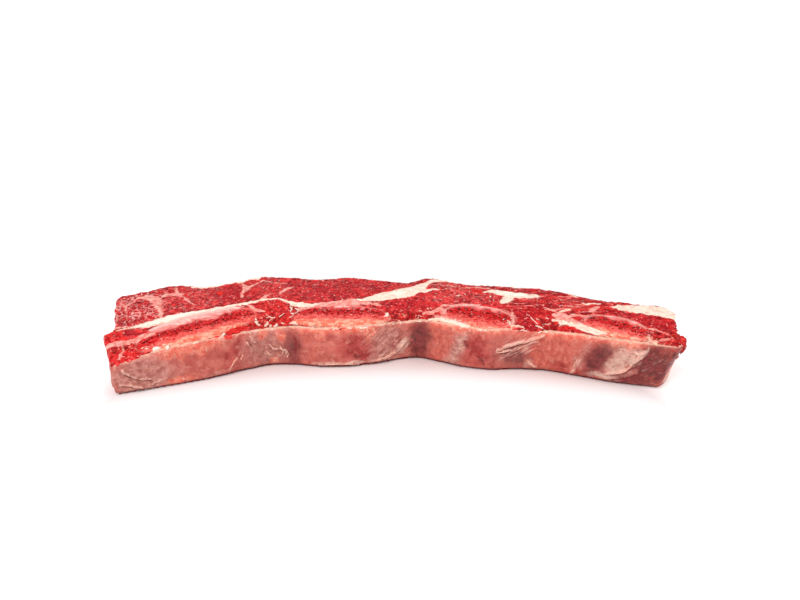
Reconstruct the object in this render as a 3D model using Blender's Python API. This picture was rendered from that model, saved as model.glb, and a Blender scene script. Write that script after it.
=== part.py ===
"""Raw beef short ribs: one flanken strip, cut across four ribs, lying on its lower cut face.

The strip is one curved slab of meat. Four rib bones, each with a core of red marrow, run through it
from the upper cut face to the lower one, and so do the thick seams of fat between the muscles.
X runs along the strip, -Y is the inner, membrane-covered side of the ribs, +Z is up.
Lengths below are in millimetres and MM turns them into Blender's metres.
"""

import math

import bmesh
import bpy
import numpy as np
from mathutils import Vector, noise

MM = 0.001

# Cut thickness of the strip at its left and right ends.
LEFT_HEIGHT = 21.4
RIGHT_HEIGHT = 23.8

# Plan of the upper cut face. The inner wall swells at each rib and falls back between them.
INNER_WALL = [
    (-127.8, -46.2), (-115.0, -41.9), (-98.0, -36.0), (-84.0, -30.2), (-70.0, -22.6),
    (-59.0, -18.3), (-48.0, -17.8), (-33.0, -19.9), (-18.0, -19.4), (-4.0, -16.4),
    (8.0, -12.2), (17.0, -10.5), (27.0, -14.2), (38.0, -19.2), (52.0, -22.9),
    (68.0, -22.4), (82.0, -23.6), (96.0, -28.8), (110.0, -33.9), (125.0, -37.2), (141.5, -40.2),
]
OUTER_WALL = [
    (-150.4, 20.4), (-143.6, 25.0), (-129.0, 33.8), (-120.0, 37.0), (-104.0, 34.4),
    (-95.0, 37.4), (-84.0, 43.6), (-73.0, 48.6), (-62.0, 48.2), (-38.0, 44.8),
    (-25.0, 47.4), (-8.0, 44.2), (4.0, 40.8), (13.0, 39.4), (22.5, 45.6), (30.0, 43.2),
    (39.0, 37.6), (53.0, 34.0), (72.0, 31.6), (86.0, 28.4), (94.0, 26.0), (106.0, 18.4),
    (117.0, 12.2), (131.0, 7.8), (144.8, 4.6),
]
LEFT_END = [
    (-127.8, -46.2), (-131.5, -40.4), (-136.4, -32.0), (-140.0, -25.2), (-137.2, -19.4),
    (-139.8, -9.6), (-143.4, 0.5), (-147.0, 9.0), (-150.4, 20.4),
]
RIGHT_END = [
    (141.5, -40.2), (145.6, -37.0), (148.6, -32.0), (146.8, -25.8), (147.4, -20.4),
    (149.4, -13.5), (151.2, -5.8), (149.6, 0.4), (144.8, 4.6),
]

# The upper face overhangs the lower one at both ends, except at the left end's inner corner.
LEFT_OVERHANG = 3.0
LEFT_CORNER_FLARE = 3.6
RIGHT_OVERHANG = 7.8
RIGHT_OUTER_EASE = 0.6
OVERHANG_REACH = 0.16
OVERHANG_CURL = 2.2

# Cells of the slab's faces.
CELLS_ALONG = 80
CELLS_ACROSS = 15
MIDDLE_RINGS = 2
OUTLINE_SAMPLES = 400

# Rounding of the lower and upper edges: (distance from the face, inset from the outline), bottom to top.
LOWER_EDGE = [(0.0, 1.2), (1.0, 0.3), (3.0, 0.0)]
UPPER_EDGE = [(3.2, 0.0), (1.1, 0.4), (0.0, 1.6)]

# Relief of the cut face, the walls and the ragged ends.
MUSCLE_SWELL = 0.9
MUSCLE_START = 0.35
MUSCLE_END = 0.95
MUSCLE_GRAIN = 0.5
GRAIN_SIZE = 11.0
WALL_SWELL = 0.7
WALL_GRAIN = 0.55
OUTER_GRAIN = 1.1
END_RAG = 1.3
RAG_SIZE = 5.0
RAG_STRETCH = 0.4
CORNER_DIP = 4.6
CORNER_REACH = 20.0
CORNER_DEPTH = 0.26
RETRACTION = 1.5
RETRACTION_REACH = 12.0

# Rib sections: middle, half length, half width, turn in degrees. Ribs lean a little on their way down.
RIBS = [
    {"middle": (-94.4, -16.4), "half": (30.2, 11.2), "turn": 34.5, "bow": 0.8, "taper": 0.04},
    {"middle": (-22.6, -5.2), "half": (24.9, 11.6), "turn": 0.0, "bow": 0.8, "taper": -0.06},
    {"middle": (48.6, -6.9), "half": (19.2, 11.2), "turn": -22.0, "bow": 0.6, "taper": 0.06},
    {"middle": (116.2, -20.0), "half": (16.8, 9.9), "turn": -32.0, "bow": 0.5, "taper": 0.05},
]
MARROWS = [
    {"middle": (-96.0, -15.0), "half": (24.4, 5.3), "turn": 33.5, "bow": 1.0, "taper": 0.0},
    {"middle": (-24.3, -3.6), "half": (19.8, 5.2), "turn": -1.0, "bow": 0.6, "taper": -0.1},
    {"middle": (47.6, -5.8), "half": (13.6, 5.2), "turn": -26.0, "bow": 0.5, "taper": 0.1},
    {"middle": (114.6, -18.9), "half": (12.0, 4.1), "turn": -33.0, "bow": 0.4, "taper": 0.0},
]
RIB_LEAN = 2.0
RIB_SQUARENESS = 0.9
RIB_SEGMENTS = 40
MARROW_SEGMENTS = 28
MARROW_SINK = 0.5

# Valleys of meat between neighbouring ribs, where the cut muscle has drawn back from the face.
VALLEYS = [(-124.0, -35.0), (-62.0, -11.0), (9.0, -3.0), (82.0, -15.0), (138.0, -30.0)]

# Fat seams as ribbons: x, y and half thickness along each one's middle line.
RIB_SEAM = [
    (-127.5, -18.2, 0.7), (-121.8, -15.4, 1.9), (-115.8, -11.4, 2.6), (-109.5, -7.4, 2.5),
    (-102.2, -3.1, 2.0), (-93.2, 1.2, 1.5), (-83.0, 5.4, 1.2), (-74.0, 8.9, 1.1), (-66.0, 12.0, 0.8),
]
MIDDLE_SEAM = [
    (-53.5, 11.2, 0.8), (-47.0, 8.6, 2.2), (-41.0, 7.8, 2.2), (-33.0, 9.2, 1.6),
    (-21.0, 11.2, 1.3), (-11.0, 13.4, 2.2), (-4.0, 15.8, 3.9), (4.0, 18.4, 4.7),
    (11.0, 21.2, 5.3), (17.5, 25.0, 4.4), (22.5, 30.4, 2.7), (27.0, 35.4, 1.2),
]
OUTER_SEAM = [
    (53.0, 21.4, 0.8), (58.0, 19.0, 2.0), (64.0, 16.0, 3.0), (71.0, 14.5, 3.0),
    (78.0, 14.4, 2.2), (86.5, 13.4, 0.8),
]
SEAM_STEPS = 26

# The fat cap over the outer corner of the right end: its inner edge, seen from above.
CAP_EDGE = [
    (117.0, 26.0), (117.5, 6.0), (119.5, 0.0), (124.7, -3.6), (131.0, -4.8), (138.0, -7.2),
    (144.0, -9.4), (156.0, -14.0), (160.0, 26.0),
]

PIECE_GAP = 0.3
CUTTER_LOW = -6.0
CUTTER_HIGH = 40.0

COLOURS = {
    "meat": ((0.50, 0.035, 0.040, 1.0), 0.34),
    "bone": ((0.78, 0.42, 0.34, 1.0), 0.42),
    "marrow": ((0.42, 0.020, 0.018, 1.0), 0.38),
    "fat": ((0.88, 0.74, 0.58, 1.0), 0.40),
}


def clear_scene():
    for old in list(bpy.data.objects):
        bpy.data.objects.remove(old, do_unlink=True)


def smooth_line(points, steps):
    """Points at even steps of the chord length along a smooth line through the given points."""
    points = np.array(points, float)
    along = np.concatenate([[0.0], np.cumsum(np.linalg.norm(np.diff(points[:, :2], axis=0), axis=1))])
    slopes = np.gradient(points, along, axis=0)
    wanted = np.linspace(0.0, along[-1], steps)
    span = np.clip(np.searchsorted(along, wanted, side="right") - 1, 0, len(along) - 2)
    length = (along[span + 1] - along[span])[:, None]
    t = (wanted - along[span])[:, None] / length
    ahead = t * t * (3 - 2 * t)
    start = points[span] * (1 - ahead) + points[span + 1] * ahead
    bend = length * t * (1 - t) * (slopes[span] * (1 - t) - slopes[span + 1] * t)
    return start + bend


def line_sampler(points, by_x):
    """A function from 0..1 to a point of the smooth line, even in x or in chord length."""
    line = smooth_line(points, OUTLINE_SAMPLES)
    if by_x:
        share = (line[:, 0] - line[0, 0]) / (line[-1, 0] - line[0, 0])
    else:
        share = np.linspace(0.0, 1.0, len(line))
    return lambda t: np.array([np.interp(t, share, line[:, 0]), np.interp(t, share, line[:, 1])])


inner_wall = line_sampler(INNER_WALL, True)
outer_wall = line_sampler(OUTER_WALL, True)
left_end = line_sampler(LEFT_END, False)
right_end = line_sampler(RIGHT_END, False)


def plan_point(u, v):
    """The point of the cut face at u along the strip and v from the inner to the outer wall."""
    inner, outer = inner_wall(u), outer_wall(u)
    left, right = left_end(v), right_end(v)
    between_walls = (1 - v) * inner + v * outer
    between_ends = (1 - u) * left + u * right
    corners = (
        (1 - u) * (1 - v) * inner_wall(0.0)
        + u * (1 - v) * inner_wall(1.0)
        + (1 - u) * v * outer_wall(0.0)
        + u * v * outer_wall(1.0)
    )
    return between_walls + between_ends - corners


def near(x, y, place, reach):
    """1 at a place, falling smoothly to 0 a reach or so away."""
    return math.exp(-((x - place[0]) ** 2 + (y - place[1]) ** 2) / reach**2)


def grain(x, y, z, size, seed):
    return noise.noise(Vector((x / size, y / size, z / size + seed)))


def face_height(u, v, x, y):
    """Height of the upper cut face: muscles swell, meat between the ribs has drawn back."""
    height = LEFT_HEIGHT + (RIGHT_HEIGHT - LEFT_HEIGHT) * u
    share = (v - MUSCLE_START) / (MUSCLE_END - MUSCLE_START)
    height += MUSCLE_SWELL * math.sin(math.pi * min(1.0, max(0.0, share)))
    height += MUSCLE_GRAIN * grain(x, y, 0.0, GRAIN_SIZE, 3.0)
    height -= CORNER_DIP * near(x, y, INNER_WALL[0], CORNER_REACH) * max(0.0, 1.0 - v / CORNER_DEPTH)
    height -= RETRACTION * max(near(x, y, valley, RETRACTION_REACH) for valley in VALLEYS)
    return height


def wall_rings():
    """(what the height is measured by, the measure, inset) for each ring of points up the walls."""
    rings = [("from bottom", z, inset) for z, inset in LOWER_EDGE]
    rings += [("share", (n + 1) / (MIDDLE_RINGS + 1), 0.0) for n in range(MIDDLE_RINGS)]
    rings += [("from top", z, inset) for z, inset in UPPER_EDGE]
    return rings


def ring_height(ring, height):
    kind, measure, _ = ring
    if kind == "from bottom":
        return measure
    if kind == "from top":
        return height - measure
    low, high = LOWER_EDGE[-1][0], height - UPPER_EDGE[0][0]
    return low + measure * (high - low)


def slab_point(u, v, ring):
    """A point of the slab, in millimetres, from its place on the cube that it is warped from."""
    inset = ring[2]
    width = np.linalg.norm(outer_wall(u) - inner_wall(u))
    length = OUTER_WALL[-1][0] - OUTER_WALL[0][0]
    u_in = inset / length + u * (1 - 2 * inset / length)
    v_in = inset / width + v * (1 - 2 * inset / width)
    x, y = plan_point(u_in, v_in)
    height = face_height(u, v, x, y)
    z = ring_height(ring, height)
    depth = 1.0 - z / height
    belly = math.sin(math.pi * z / height)
    curl = (1.0 - math.exp(-OVERHANG_CURL * depth)) / (1.0 - math.exp(-OVERHANG_CURL))
    near_left = max(0.0, 1.0 - u / OVERHANG_REACH) ** 2
    near_right = max(0.0, 1.0 - (1.0 - u) / OVERHANG_REACH) ** 2
    x += curl * near_left * (LEFT_OVERHANG - LEFT_CORNER_FLARE * max(0.0, 1.0 - v / CORNER_DEPTH))
    x -= curl * near_right * RIGHT_OVERHANG * (1.0 - RIGHT_OUTER_EASE * v)
    if v == 0.0:
        y -= belly * (WALL_SWELL + WALL_GRAIN * grain(x, 0.0, z, GRAIN_SIZE, 9.0))
    if v == 1.0:
        y += belly * OUTER_GRAIN * grain(x, 0.0, z, GRAIN_SIZE, 15.0)
    if u in (0.0, 1.0):
        side = -1.0 if u == 0.0 else 1.0
        x += side * END_RAG * grain(0.0, y, z * RAG_STRETCH, RAG_SIZE, 21.0) * math.sin(math.pi * v)
    return Vector((x, y, z)) * MM


def subdivided_cube(cells):
    """A unit cube, from 0 to 1, with its edges along X, Y and Z cut into that many cells."""
    shape = bmesh.new()
    bmesh.ops.create_cube(shape, size=1.0)
    bmesh.ops.translate(shape, verts=shape.verts, vec=(0.5, 0.5, 0.5))
    for axis, count in enumerate(cells):
        along = [e for e in shape.edges if abs(e.verts[0].co[axis] - e.verts[1].co[axis]) > 1e-6]
        bmesh.ops.subdivide_edges(shape, edges=along, cuts=count - 1, use_grid_fill=True)
    return shape


def build_slab():
    """The whole strip, bones and fat included, as one warped and rounded slab with a flat underside."""
    rings = wall_rings()
    cells = (CELLS_ALONG, CELLS_ACROSS, len(rings) - 1)
    shape = subdivided_cube(cells)
    for vert in shape.verts:
        u = round(vert.co.x * cells[0]) / cells[0]
        v = round(vert.co.y * cells[1]) / cells[1]
        vert.co = slab_point(u, v, rings[round(vert.co.z * cells[2])])
    underside = [f for f in shape.faces if all(abs(v.co.z) < 1e-7 for v in f.verts)]
    bmesh.ops.dissolve_faces(shape, faces=underside, use_verts=True)
    bmesh.ops.recalc_face_normals(shape, faces=shape.faces)
    slab = bpy.data.meshes.new("strip_slab")
    shape.to_mesh(slab)
    shape.free()
    slab.shade_smooth()
    slab.set_sharp_from_angle(angle=math.radians(40))
    return slab


def section(rib, grow, segments):
    """Outline of a rib or marrow section: a flattened oval, a little bowed and thicker at one end."""
    turn = math.radians(rib["turn"])
    half_length, half_width = rib["half"][0] + grow, rib["half"][1] + grow
    outline = []
    for step in range(segments):
        angle = 2 * math.pi * step / segments
        across, up = math.cos(angle), math.sin(angle)
        x = half_length * math.copysign(abs(across) ** RIB_SQUARENESS, across)
        y = half_width * math.copysign(abs(up) ** RIB_SQUARENESS, up) * (1 + rib["taper"] * across)
        y += rib["bow"] * (0.5 - across * across)
        outline.append((
            rib["middle"][0] + x * math.cos(turn) - y * math.sin(turn),
            rib["middle"][1] + x * math.sin(turn) + y * math.cos(turn),
        ))
    return outline


def ribbon(seam, grow):
    """Outline of a fat seam: both sides of its middle line, a half thickness away."""
    line = smooth_line(seam, SEAM_STEPS)
    tangent = np.gradient(line[:, :2], axis=0)
    tangent /= np.linalg.norm(tangent, axis=1)[:, None]
    side = np.stack([-tangent[:, 1], tangent[:, 0]], axis=1) * (line[:, 2:3] + grow)
    first = line[0, :2] - tangent[0] * grow
    last = line[-1, :2] + tangent[-1] * grow
    line[0, :2], line[-1, :2] = first, last
    return [tuple(p) for p in line[:, :2] + side] + [tuple(p) for p in (line[:, :2] - side)[::-1]]


def cap_outline(grow):
    """Outline of the fat cap's cutter, which runs out past the meat on its two outer sides."""
    edge = smooth_line(CAP_EDGE[1:-1], SEAM_STEPS // 2)
    tangent = np.gradient(edge, axis=0)
    tangent /= np.linalg.norm(tangent, axis=1)[:, None]
    inward = np.stack([tangent[:, 1], -tangent[:, 0]], axis=1)
    edge = edge + inward * grow
    start = (edge[0, 0], CAP_EDGE[0][1])
    return [start] + [tuple(p) for p in edge] + [CAP_EDGE[-1]]


def add_prism(name, outline, low, high, lean, cutters, frame):
    """A prism on an outline, in place at the upper face and leaning below it, among the cutters."""
    flat = bpy.data.curves.new(name, "CURVE")
    flat.dimensions = "2D"
    flat.fill_mode = "BOTH"
    flat.extrude = (high - low) / 2 * MM
    spline = flat.splines.new("POLY")
    spline.points.add(len(outline) - 1)
    for point, (x, y) in zip(spline.points, outline):
        point.co = (x * MM, y * MM, 0.0, 1.0)
    spline.use_cyclic_u = True
    guide = bpy.data.objects.new(name + "_curve", flat)
    bpy.context.scene.collection.objects.link(guide)
    bpy.context.view_layer.update()
    graph = bpy.context.evaluated_depsgraph_get()
    mesh = bpy.data.meshes.new_from_object(guide.evaluated_get(graph))
    bpy.data.objects.remove(guide, do_unlink=True)

    shape = bmesh.new()
    shape.from_mesh(mesh)
    bmesh.ops.remove_doubles(shape, verts=shape.verts, dist=1e-6)
    middle = (low + high) / 2 * MM
    for vert in shape.verts:
        vert.co.z += middle
        vert.co.x += lean * (vert.co.z / LEFT_HEIGHT - MM)
    bmesh.ops.recalc_face_normals(shape, faces=shape.faces)
    shape.to_mesh(mesh)
    shape.free()

    prism = bpy.data.objects.new(name, mesh)
    prism.hide_render = True
    prism.display_type = "WIRE"
    prism.parent = frame
    cutters.objects.link(prism)
    return prism


def make_material(name):
    colour, roughness = COLOURS[name]
    material = bpy.data.materials.new(name)
    material.use_nodes = True
    shader = material.node_tree.nodes["Principled BSDF"]
    shader.inputs["Base Color"].default_value = colour
    shader.inputs["Roughness"].default_value = roughness
    shader.inputs["Metallic"].default_value = 0.0
    material.diffuse_color = colour
    return material


def add_piece(name, mesh, material, parts, frame):
    piece = bpy.data.objects.new(name, mesh)
    piece.parent = frame
    parts.objects.link(piece)
    if material.name not in mesh.materials:
        mesh.materials.append(material)
    return piece


def add_boolean(piece, operation, cutter):
    cut = piece.modifiers.new(operation.lower() + "_" + cutter.name, "BOOLEAN")
    cut.operation = operation
    cut.solver = "EXACT"
    cut.object = cutter


def add_ribs(slab, materials, parts, cutters, frame):
    """Each rib is the slab inside its section, bored for its core of marrow. Returns the meat's cutters."""
    sockets = []
    for number, (rib, marrow) in enumerate(zip(RIBS, MARROWS), start=1):
        outer = add_prism(f"rib_{number}_section", section(rib, 0.0, RIB_SEGMENTS),
                          CUTTER_LOW, CUTTER_HIGH, RIB_LEAN, cutters, frame)
        bore = add_prism(f"rib_{number}_bore", section(marrow, PIECE_GAP, MARROW_SEGMENTS),
                         CUTTER_LOW, CUTTER_HIGH, RIB_LEAN, cutters, frame)
        bone = add_piece(f"rib_bone_{number}", slab.copy(), materials["bone"], parts, frame)
        add_boolean(bone, "INTERSECT", outer)
        add_boolean(bone, "DIFFERENCE", bore)

        along = (marrow["middle"][0] - INNER_WALL[0][0]) / (INNER_WALL[-1][0] - INNER_WALL[0][0])
        top = face_height(along, MUSCLE_START, *marrow["middle"]) - MARROW_SINK
        core = add_prism(f"marrow_{number}_core", section(marrow, 0.0, MARROW_SEGMENTS),
                         MARROW_SINK, top, RIB_LEAN, cutters, frame)
        add_piece(f"marrow_{number}", core.data, materials["marrow"], parts, frame)

        sockets.append(add_prism(f"rib_{number}_socket", section(rib, PIECE_GAP, RIB_SEGMENTS),
                                 CUTTER_LOW, CUTTER_HIGH, RIB_LEAN, cutters, frame))
    return sockets


def add_fat(slab, materials, parts, cutters, frame):
    """Each seam, and the cap, is the slab inside its outline. Returns the meat's cutters."""
    outlines = {
        "fat_seam_ribs": lambda grow: ribbon(RIB_SEAM, grow),
        "fat_seam_middle": lambda grow: ribbon(MIDDLE_SEAM, grow),
        "fat_seam_outer": lambda grow: ribbon(OUTER_SEAM, grow),
        "fat_cap": cap_outline,
    }
    sockets = []
    for name, outline in outlines.items():
        inside = add_prism(name + "_form", outline(0.0), CUTTER_LOW, CUTTER_HIGH, 0.0, cutters, frame)
        fat = add_piece(name, slab.copy(), materials["fat"], parts, frame)
        add_boolean(fat, "INTERSECT", inside)
        sockets.append(add_prism(name + "_socket", outline(PIECE_GAP),
                                 CUTTER_LOW, CUTTER_HIGH, 0.0, cutters, frame))
    return sockets


def plan_middle(mesh):
    """Middle of the slab's plan, which becomes the origin."""
    across = np.array([v.co[:2] for v in mesh.vertices])
    return (across.min(axis=0) + across.max(axis=0)) / 2


def main():
    clear_scene()
    scene = bpy.context.scene
    parts = bpy.data.collections.new("beef_short_ribs")
    cutters = bpy.data.collections.new("cutters")
    scene.collection.children.link(parts)
    scene.collection.children.link(cutters)
    cutters.hide_render = True
    materials = {name: make_material(name) for name in COLOURS}

    slab = build_slab()
    frame = bpy.data.objects.new("strip_frame", None)
    parts.objects.link(frame)
    middle = plan_middle(slab)
    frame.location = (-middle[0], -middle[1], 0.0)

    meat = add_piece("meat", slab.copy(), materials["meat"], parts, frame)
    sockets = add_ribs(slab, materials, parts, cutters, frame)
    sockets += add_fat(slab, materials, parts, cutters, frame)
    for socket in sockets:
        add_boolean(meat, "DIFFERENCE", socket)


main()
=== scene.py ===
import math

import bmesh
import bpy
import numpy as np
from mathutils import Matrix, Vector, noise
from mathutils.bvhtree import BVHTree


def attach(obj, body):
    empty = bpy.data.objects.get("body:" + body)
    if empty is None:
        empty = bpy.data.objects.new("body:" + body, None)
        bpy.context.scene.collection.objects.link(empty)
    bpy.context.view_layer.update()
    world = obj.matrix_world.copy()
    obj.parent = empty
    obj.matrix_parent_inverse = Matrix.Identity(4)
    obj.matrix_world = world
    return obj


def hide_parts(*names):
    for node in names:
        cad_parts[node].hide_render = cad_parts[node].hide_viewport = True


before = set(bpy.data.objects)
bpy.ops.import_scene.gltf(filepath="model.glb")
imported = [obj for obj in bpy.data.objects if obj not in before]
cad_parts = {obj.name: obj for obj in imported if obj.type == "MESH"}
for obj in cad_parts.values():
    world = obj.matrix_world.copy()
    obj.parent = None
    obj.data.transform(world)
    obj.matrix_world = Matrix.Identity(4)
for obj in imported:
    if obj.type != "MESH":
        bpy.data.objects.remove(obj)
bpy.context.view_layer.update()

# Looks of a flanken strip of raw beef short ribs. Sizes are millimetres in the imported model's frame,
# x along the strip, -y towards the membrane side of the ribs, z up. Colours are written as 0 to 255.
mm = 0.001


# Numbers and fields

def rgb(red, green, blue):
    linear = [((c / 255 + 0.055) / 1.055) ** 2.4 if c > 10 else c / 255 / 12.92 for c in (red, green, blue)]
    return (*linear, 1.0)


def smooth(low, high, value):
    share = np.clip((value - low) / (high - low), 0, 1)
    return share * share * (3 - 2 * share)


def noiseAt(points, size, seed=0.0, octaves=1):
    scaled = (points / np.array(size) + seed * 7.31).tolist()
    if octaves == 1:
        return np.array([noise.noise(p) for p in scaled])
    return np.array([noise.fractal(p, 1.0, 2.0, octaves) for p in scaled])


def cellsAt(points, size, seed=0.0):
    scaled = (points / np.array(size) + seed * 7.31).tolist()
    found = [noise.voronoi(p) for p in scaled]
    near = np.array([v[0][:2] for v in found])
    heart = np.array([tuple(v[1][0]) for v in found])
    tone = np.abs(np.sin(heart @ (12.99, 78.23, 37.72)) * 43758.5) % 1.0
    return near[:, 1] - near[:, 0], tone   # distance to the cell's edge, and a random tone per cell


def insideLine(plan, line):
    best = np.full(len(plan), -99.0)   # how far inside a line of points (x, y, half width), below 0 outside
    for (xa, ya, ra), (xb, yb, rb) in zip(line[:-1], line[1:]):
        along = np.array((xb - xa, yb - ya))
        share = np.clip(((plan - (xa, ya)) @ along) / (along @ along), 0, 1)
        gap = np.linalg.norm(plan - (xa, ya) - share[:, None] * along, axis=1)
        best = np.maximum(best, ra + share * (rb - ra) - gap)
    return best


def insideLines(plan, lines):
    return np.max([insideLine(plan, line) for line in lines.values()], axis=0)


def shake(points, size, seeds, octaves=1):
    return np.stack([noiseAt(points, size, seed, octaves) for seed in seeds], 1)


def inPatches(plan, patches, edge=0.35):
    total = np.zeros(len(plan))   # ovals of (x, y, half length, half width, turn in degrees, strength)
    for x, y, long, wide, turn, strength in patches:
        a = math.radians(turn)
        dx, dy = plan[:, 0] - x, plan[:, 1] - y
        along = (dx * math.cos(a) + dy * math.sin(a)) / long
        across = (dy * math.cos(a) - dx * math.sin(a)) / wide
        reach = np.sqrt(along ** 2 + across ** 2)
        total = np.maximum(total, strength * smooth(1 + edge, 1 - edge, reach))
    return total


# Meshes

def pointsOf(mesh):
    flat = np.zeros(len(mesh.vertices) * 3, np.float32)
    mesh.vertices.foreach_get("co", flat)
    return flat.reshape(-1, 3).astype(float) / mm


def normalsOf(mesh):
    flat = np.zeros(len(mesh.vertices) * 3, np.float32)
    mesh.vertex_normals.foreach_get("vector", flat)
    return flat.reshape(-1, 3).astype(float)


def setPoints(mesh, points):
    mesh.vertices.foreach_set("co", (points * mm).astype(np.float32).ravel())
    mesh.update()


def setFields(mesh, fields):
    for name, values in fields.items():
        mesh.attributes.new(name, "FLOAT", "POINT").data.foreach_set("value", values.astype(np.float32))


def addObject(name, mesh):
    piece = bpy.data.objects.new(name, mesh)
    bpy.context.scene.collection.objects.link(piece)
    return piece


def dress(piece, finish):
    piece.data.shade_smooth()
    piece.data.materials.append(finish)
    print(piece.name, "made,", len(piece.data.polygons), "faces")


def copyNodes(names, spread):
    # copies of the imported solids, welded, each swollen sideways to meet its neighbours
    joined = bmesh.new()
    for name in names:
        one = bmesh.new()
        one.from_mesh(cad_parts[name].data)
        bmesh.ops.remove_doubles(one, verts=one.verts, dist=1e-6)
        bmesh.ops.recalc_face_normals(one, faces=one.faces)
        one.normal_update()
        sideways = [Vector((v.normal.x, v.normal.y, 0)) for v in one.verts]
        for vert, side in zip(one.verts, sideways):
            vert.co += side * spread.get(name, 0.0) * mm
        shape = bpy.data.meshes.new(name + "_copy")
        one.to_mesh(shape)
        one.free()
        joined.from_mesh(shape)
        bpy.data.meshes.remove(shape)
    mesh = bpy.data.meshes.new("joined")
    joined.to_mesh(mesh)
    joined.free()
    return mesh


def remeshed(name, names, voxel, spread={}):
    piece = addObject(name, copyNodes(names, spread))
    even = piece.modifiers.new("even", "REMESH")
    even.mode = "VOXEL"
    even.voxel_size = voxel * mm
    graph = bpy.context.evaluated_depsgraph_get()
    mesh = bpy.data.meshes.new_from_object(piece.evaluated_get(graph))
    mesh.name = name
    piece.modifiers.clear()
    piece.data = mesh
    return piece


def refineFaces(mesh, wanted):
    shape = bmesh.new()
    shape.from_mesh(mesh)
    edges = {e for f in shape.faces if wanted(f) for e in f.edges}
    bmesh.ops.subdivide_edges(shape, edges=list(edges), cuts=1, use_grid_fill=True)
    bmesh.ops.triangulate(shape, faces=[f for f in shape.faces if len(f.verts) > 4])
    shape.to_mesh(mesh)
    shape.free()


def treeOf(*names):
    shape = bmesh.new()
    for name in names:
        shape.from_mesh(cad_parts[name].data)
    tree = BVHTree.FromBMesh(shape)
    shape.free()
    return tree


def gapTo(tree, points):
    return np.array([tree.find_nearest(Vector(p) * mm)[3] for p in points]) / mm


def castDown(tree, x, y, missing=20.0):
    hit, _, _, _ = tree.ray_cast(Vector((x, y, 40)) * mm, Vector((0, 0, -1)))
    return hit.z / mm if hit else missing


def castBack(tree, x, z, missing=-40.0):
    hit, _, _, _ = tree.ray_cast(Vector((x, -80, z)) * mm, Vector((0, 1, 0)))
    return hit.y / mm if hit else missing


# Materials

def moist(depth, spread, shine, scale=0.0012, bend=1.42):
    # the fixed settings of a wet, slightly see-through finish
    return {"Subsurface Weight": depth, "Subsurface Radius": spread, "Subsurface Scale": scale,
            "IOR": bend, "Specular IOR Level": shine}


class Value:
    # One socket's value in a material; the sums and products of these add Math nodes.
    def __init__(self, finish, socket):
        self.finish = finish
        self.socket = socket

    def __add__(self, other):
        return self.finish.maths("ADD", self, other)

    def __sub__(self, other):
        return self.finish.maths("SUBTRACT", self, other)

    def __rsub__(self, other):
        return self.finish.maths("SUBTRACT", other, self)

    def __mul__(self, other):
        return self.finish.maths("MULTIPLY", self, other)

    __radd__ = __add__
    __rmul__ = __mul__


class Finish:
    # A material under construction, around one Principled BSDF whose fixed sockets are set at the start.
    # Its tones are named colours.
    def __init__(self, name, fixed, tones):
        self.tones = tones
        self.material = bpy.data.materials.new(name)
        self.material.use_nodes = True
        self.tree = self.material.node_tree
        self.shader = self.tree.nodes["Principled BSDF"]
        for socket, value in fixed.items():
            self.shader.inputs[socket].default_value = value
        place = self.node("TexCoord", output="Object")
        self.place = self.node("VectorMath", {"operation": "SCALE"}, {0: place, "Scale": 1 / mm})

    def node(self, kind, settings={}, inputs={}, output=0):
        made = self.tree.nodes.new("ShaderNode" + kind)
        for key, value in settings.items():
            setattr(made, key, value)
        for key, value in inputs.items():
            self.feed(made.inputs[key], value)
        return Value(self, made.outputs[output])

    def feed(self, socket, value):
        if isinstance(value, Value):
            self.tree.links.new(value.socket, socket)
        else:
            socket.default_value = value

    def maths(self, operation, first, second):
        return self.node("Math", {"operation": operation}, {0: first, 1: second})

    def step(self, value, low, high):
        return self.node("MapRange", {"interpolation_type": "SMOOTHSTEP"},
                         {"Value": value, "From Min": low, "From Max": high})

    def mix(self, share, first, second):
        ends = [rgb(*self.tones[end]) if isinstance(end, str) else end for end in (first, second)]
        return self.node("Mix", {"data_type": "RGBA"}, {0: share, 6: ends[0], 7: ends[1]}, output=2)

    def blend(self, mask, start, full, first, second):
        return self.mix(self.step(mask, start, full), first, second)

    def layers(self, base, *rows):
        # each row lays a tone over the base: mask, where it starts and is full, strength, tone
        for mask, start, full, strength, tone in rows:
            base = self.mix(self.step(mask, start, full) * strength, base, tone)
        return base

    def moved(self, stretch, turn=0.0):
        return self.node("Mapping", {"vector_type": "POINT"},
                         {"Vector": self.place, "Rotation": (0, 0, math.radians(turn)), "Scale": stretch})

    def grain(self, size, detail=2.0, at=None, roughness=0.55, bend=0.0):
        return self.node("TexNoise", {}, {"Vector": at or self.place, "Scale": 1 / size, "Detail": detail,
                                          "Roughness": roughness, "Distortion": bend})

    def cells(self, size, at):
        return self.node("TexVoronoi", {"feature": "DISTANCE_TO_EDGE"}, {"Vector": at, "Scale": 1 / size})

    def bent(self, size, amount, at=None):
        shake = self.node("TexNoise", {}, {"Vector": at or self.place, "Scale": 1 / size, "Detail": 2.0},
                          output="Color")
        centred = self.node("VectorMath", {"operation": "SUBTRACT"}, {0: shake, 1: (0.5, 0.5, 0.5)})
        scaled = self.node("VectorMath", {"operation": "SCALE"}, {0: centred, "Scale": amount})
        return self.node("VectorMath", {"operation": "ADD"}, {0: at or self.place, 1: scaled})

    def field(self, name):
        return self.node("Attribute", {"attribute_name": name}, output="Fac")

    def done(self, colour, roughness, height, depth):
        bump = self.node("Bump", {}, {"Strength": 1.0, "Distance": depth * mm, "Height": height})
        self.feed(self.shader.inputs["Base Color"], colour)
        self.feed(self.shader.inputs["Roughness"], roughness)
        self.feed(self.shader.inputs["Normal"], bump)
        return self.material


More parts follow.
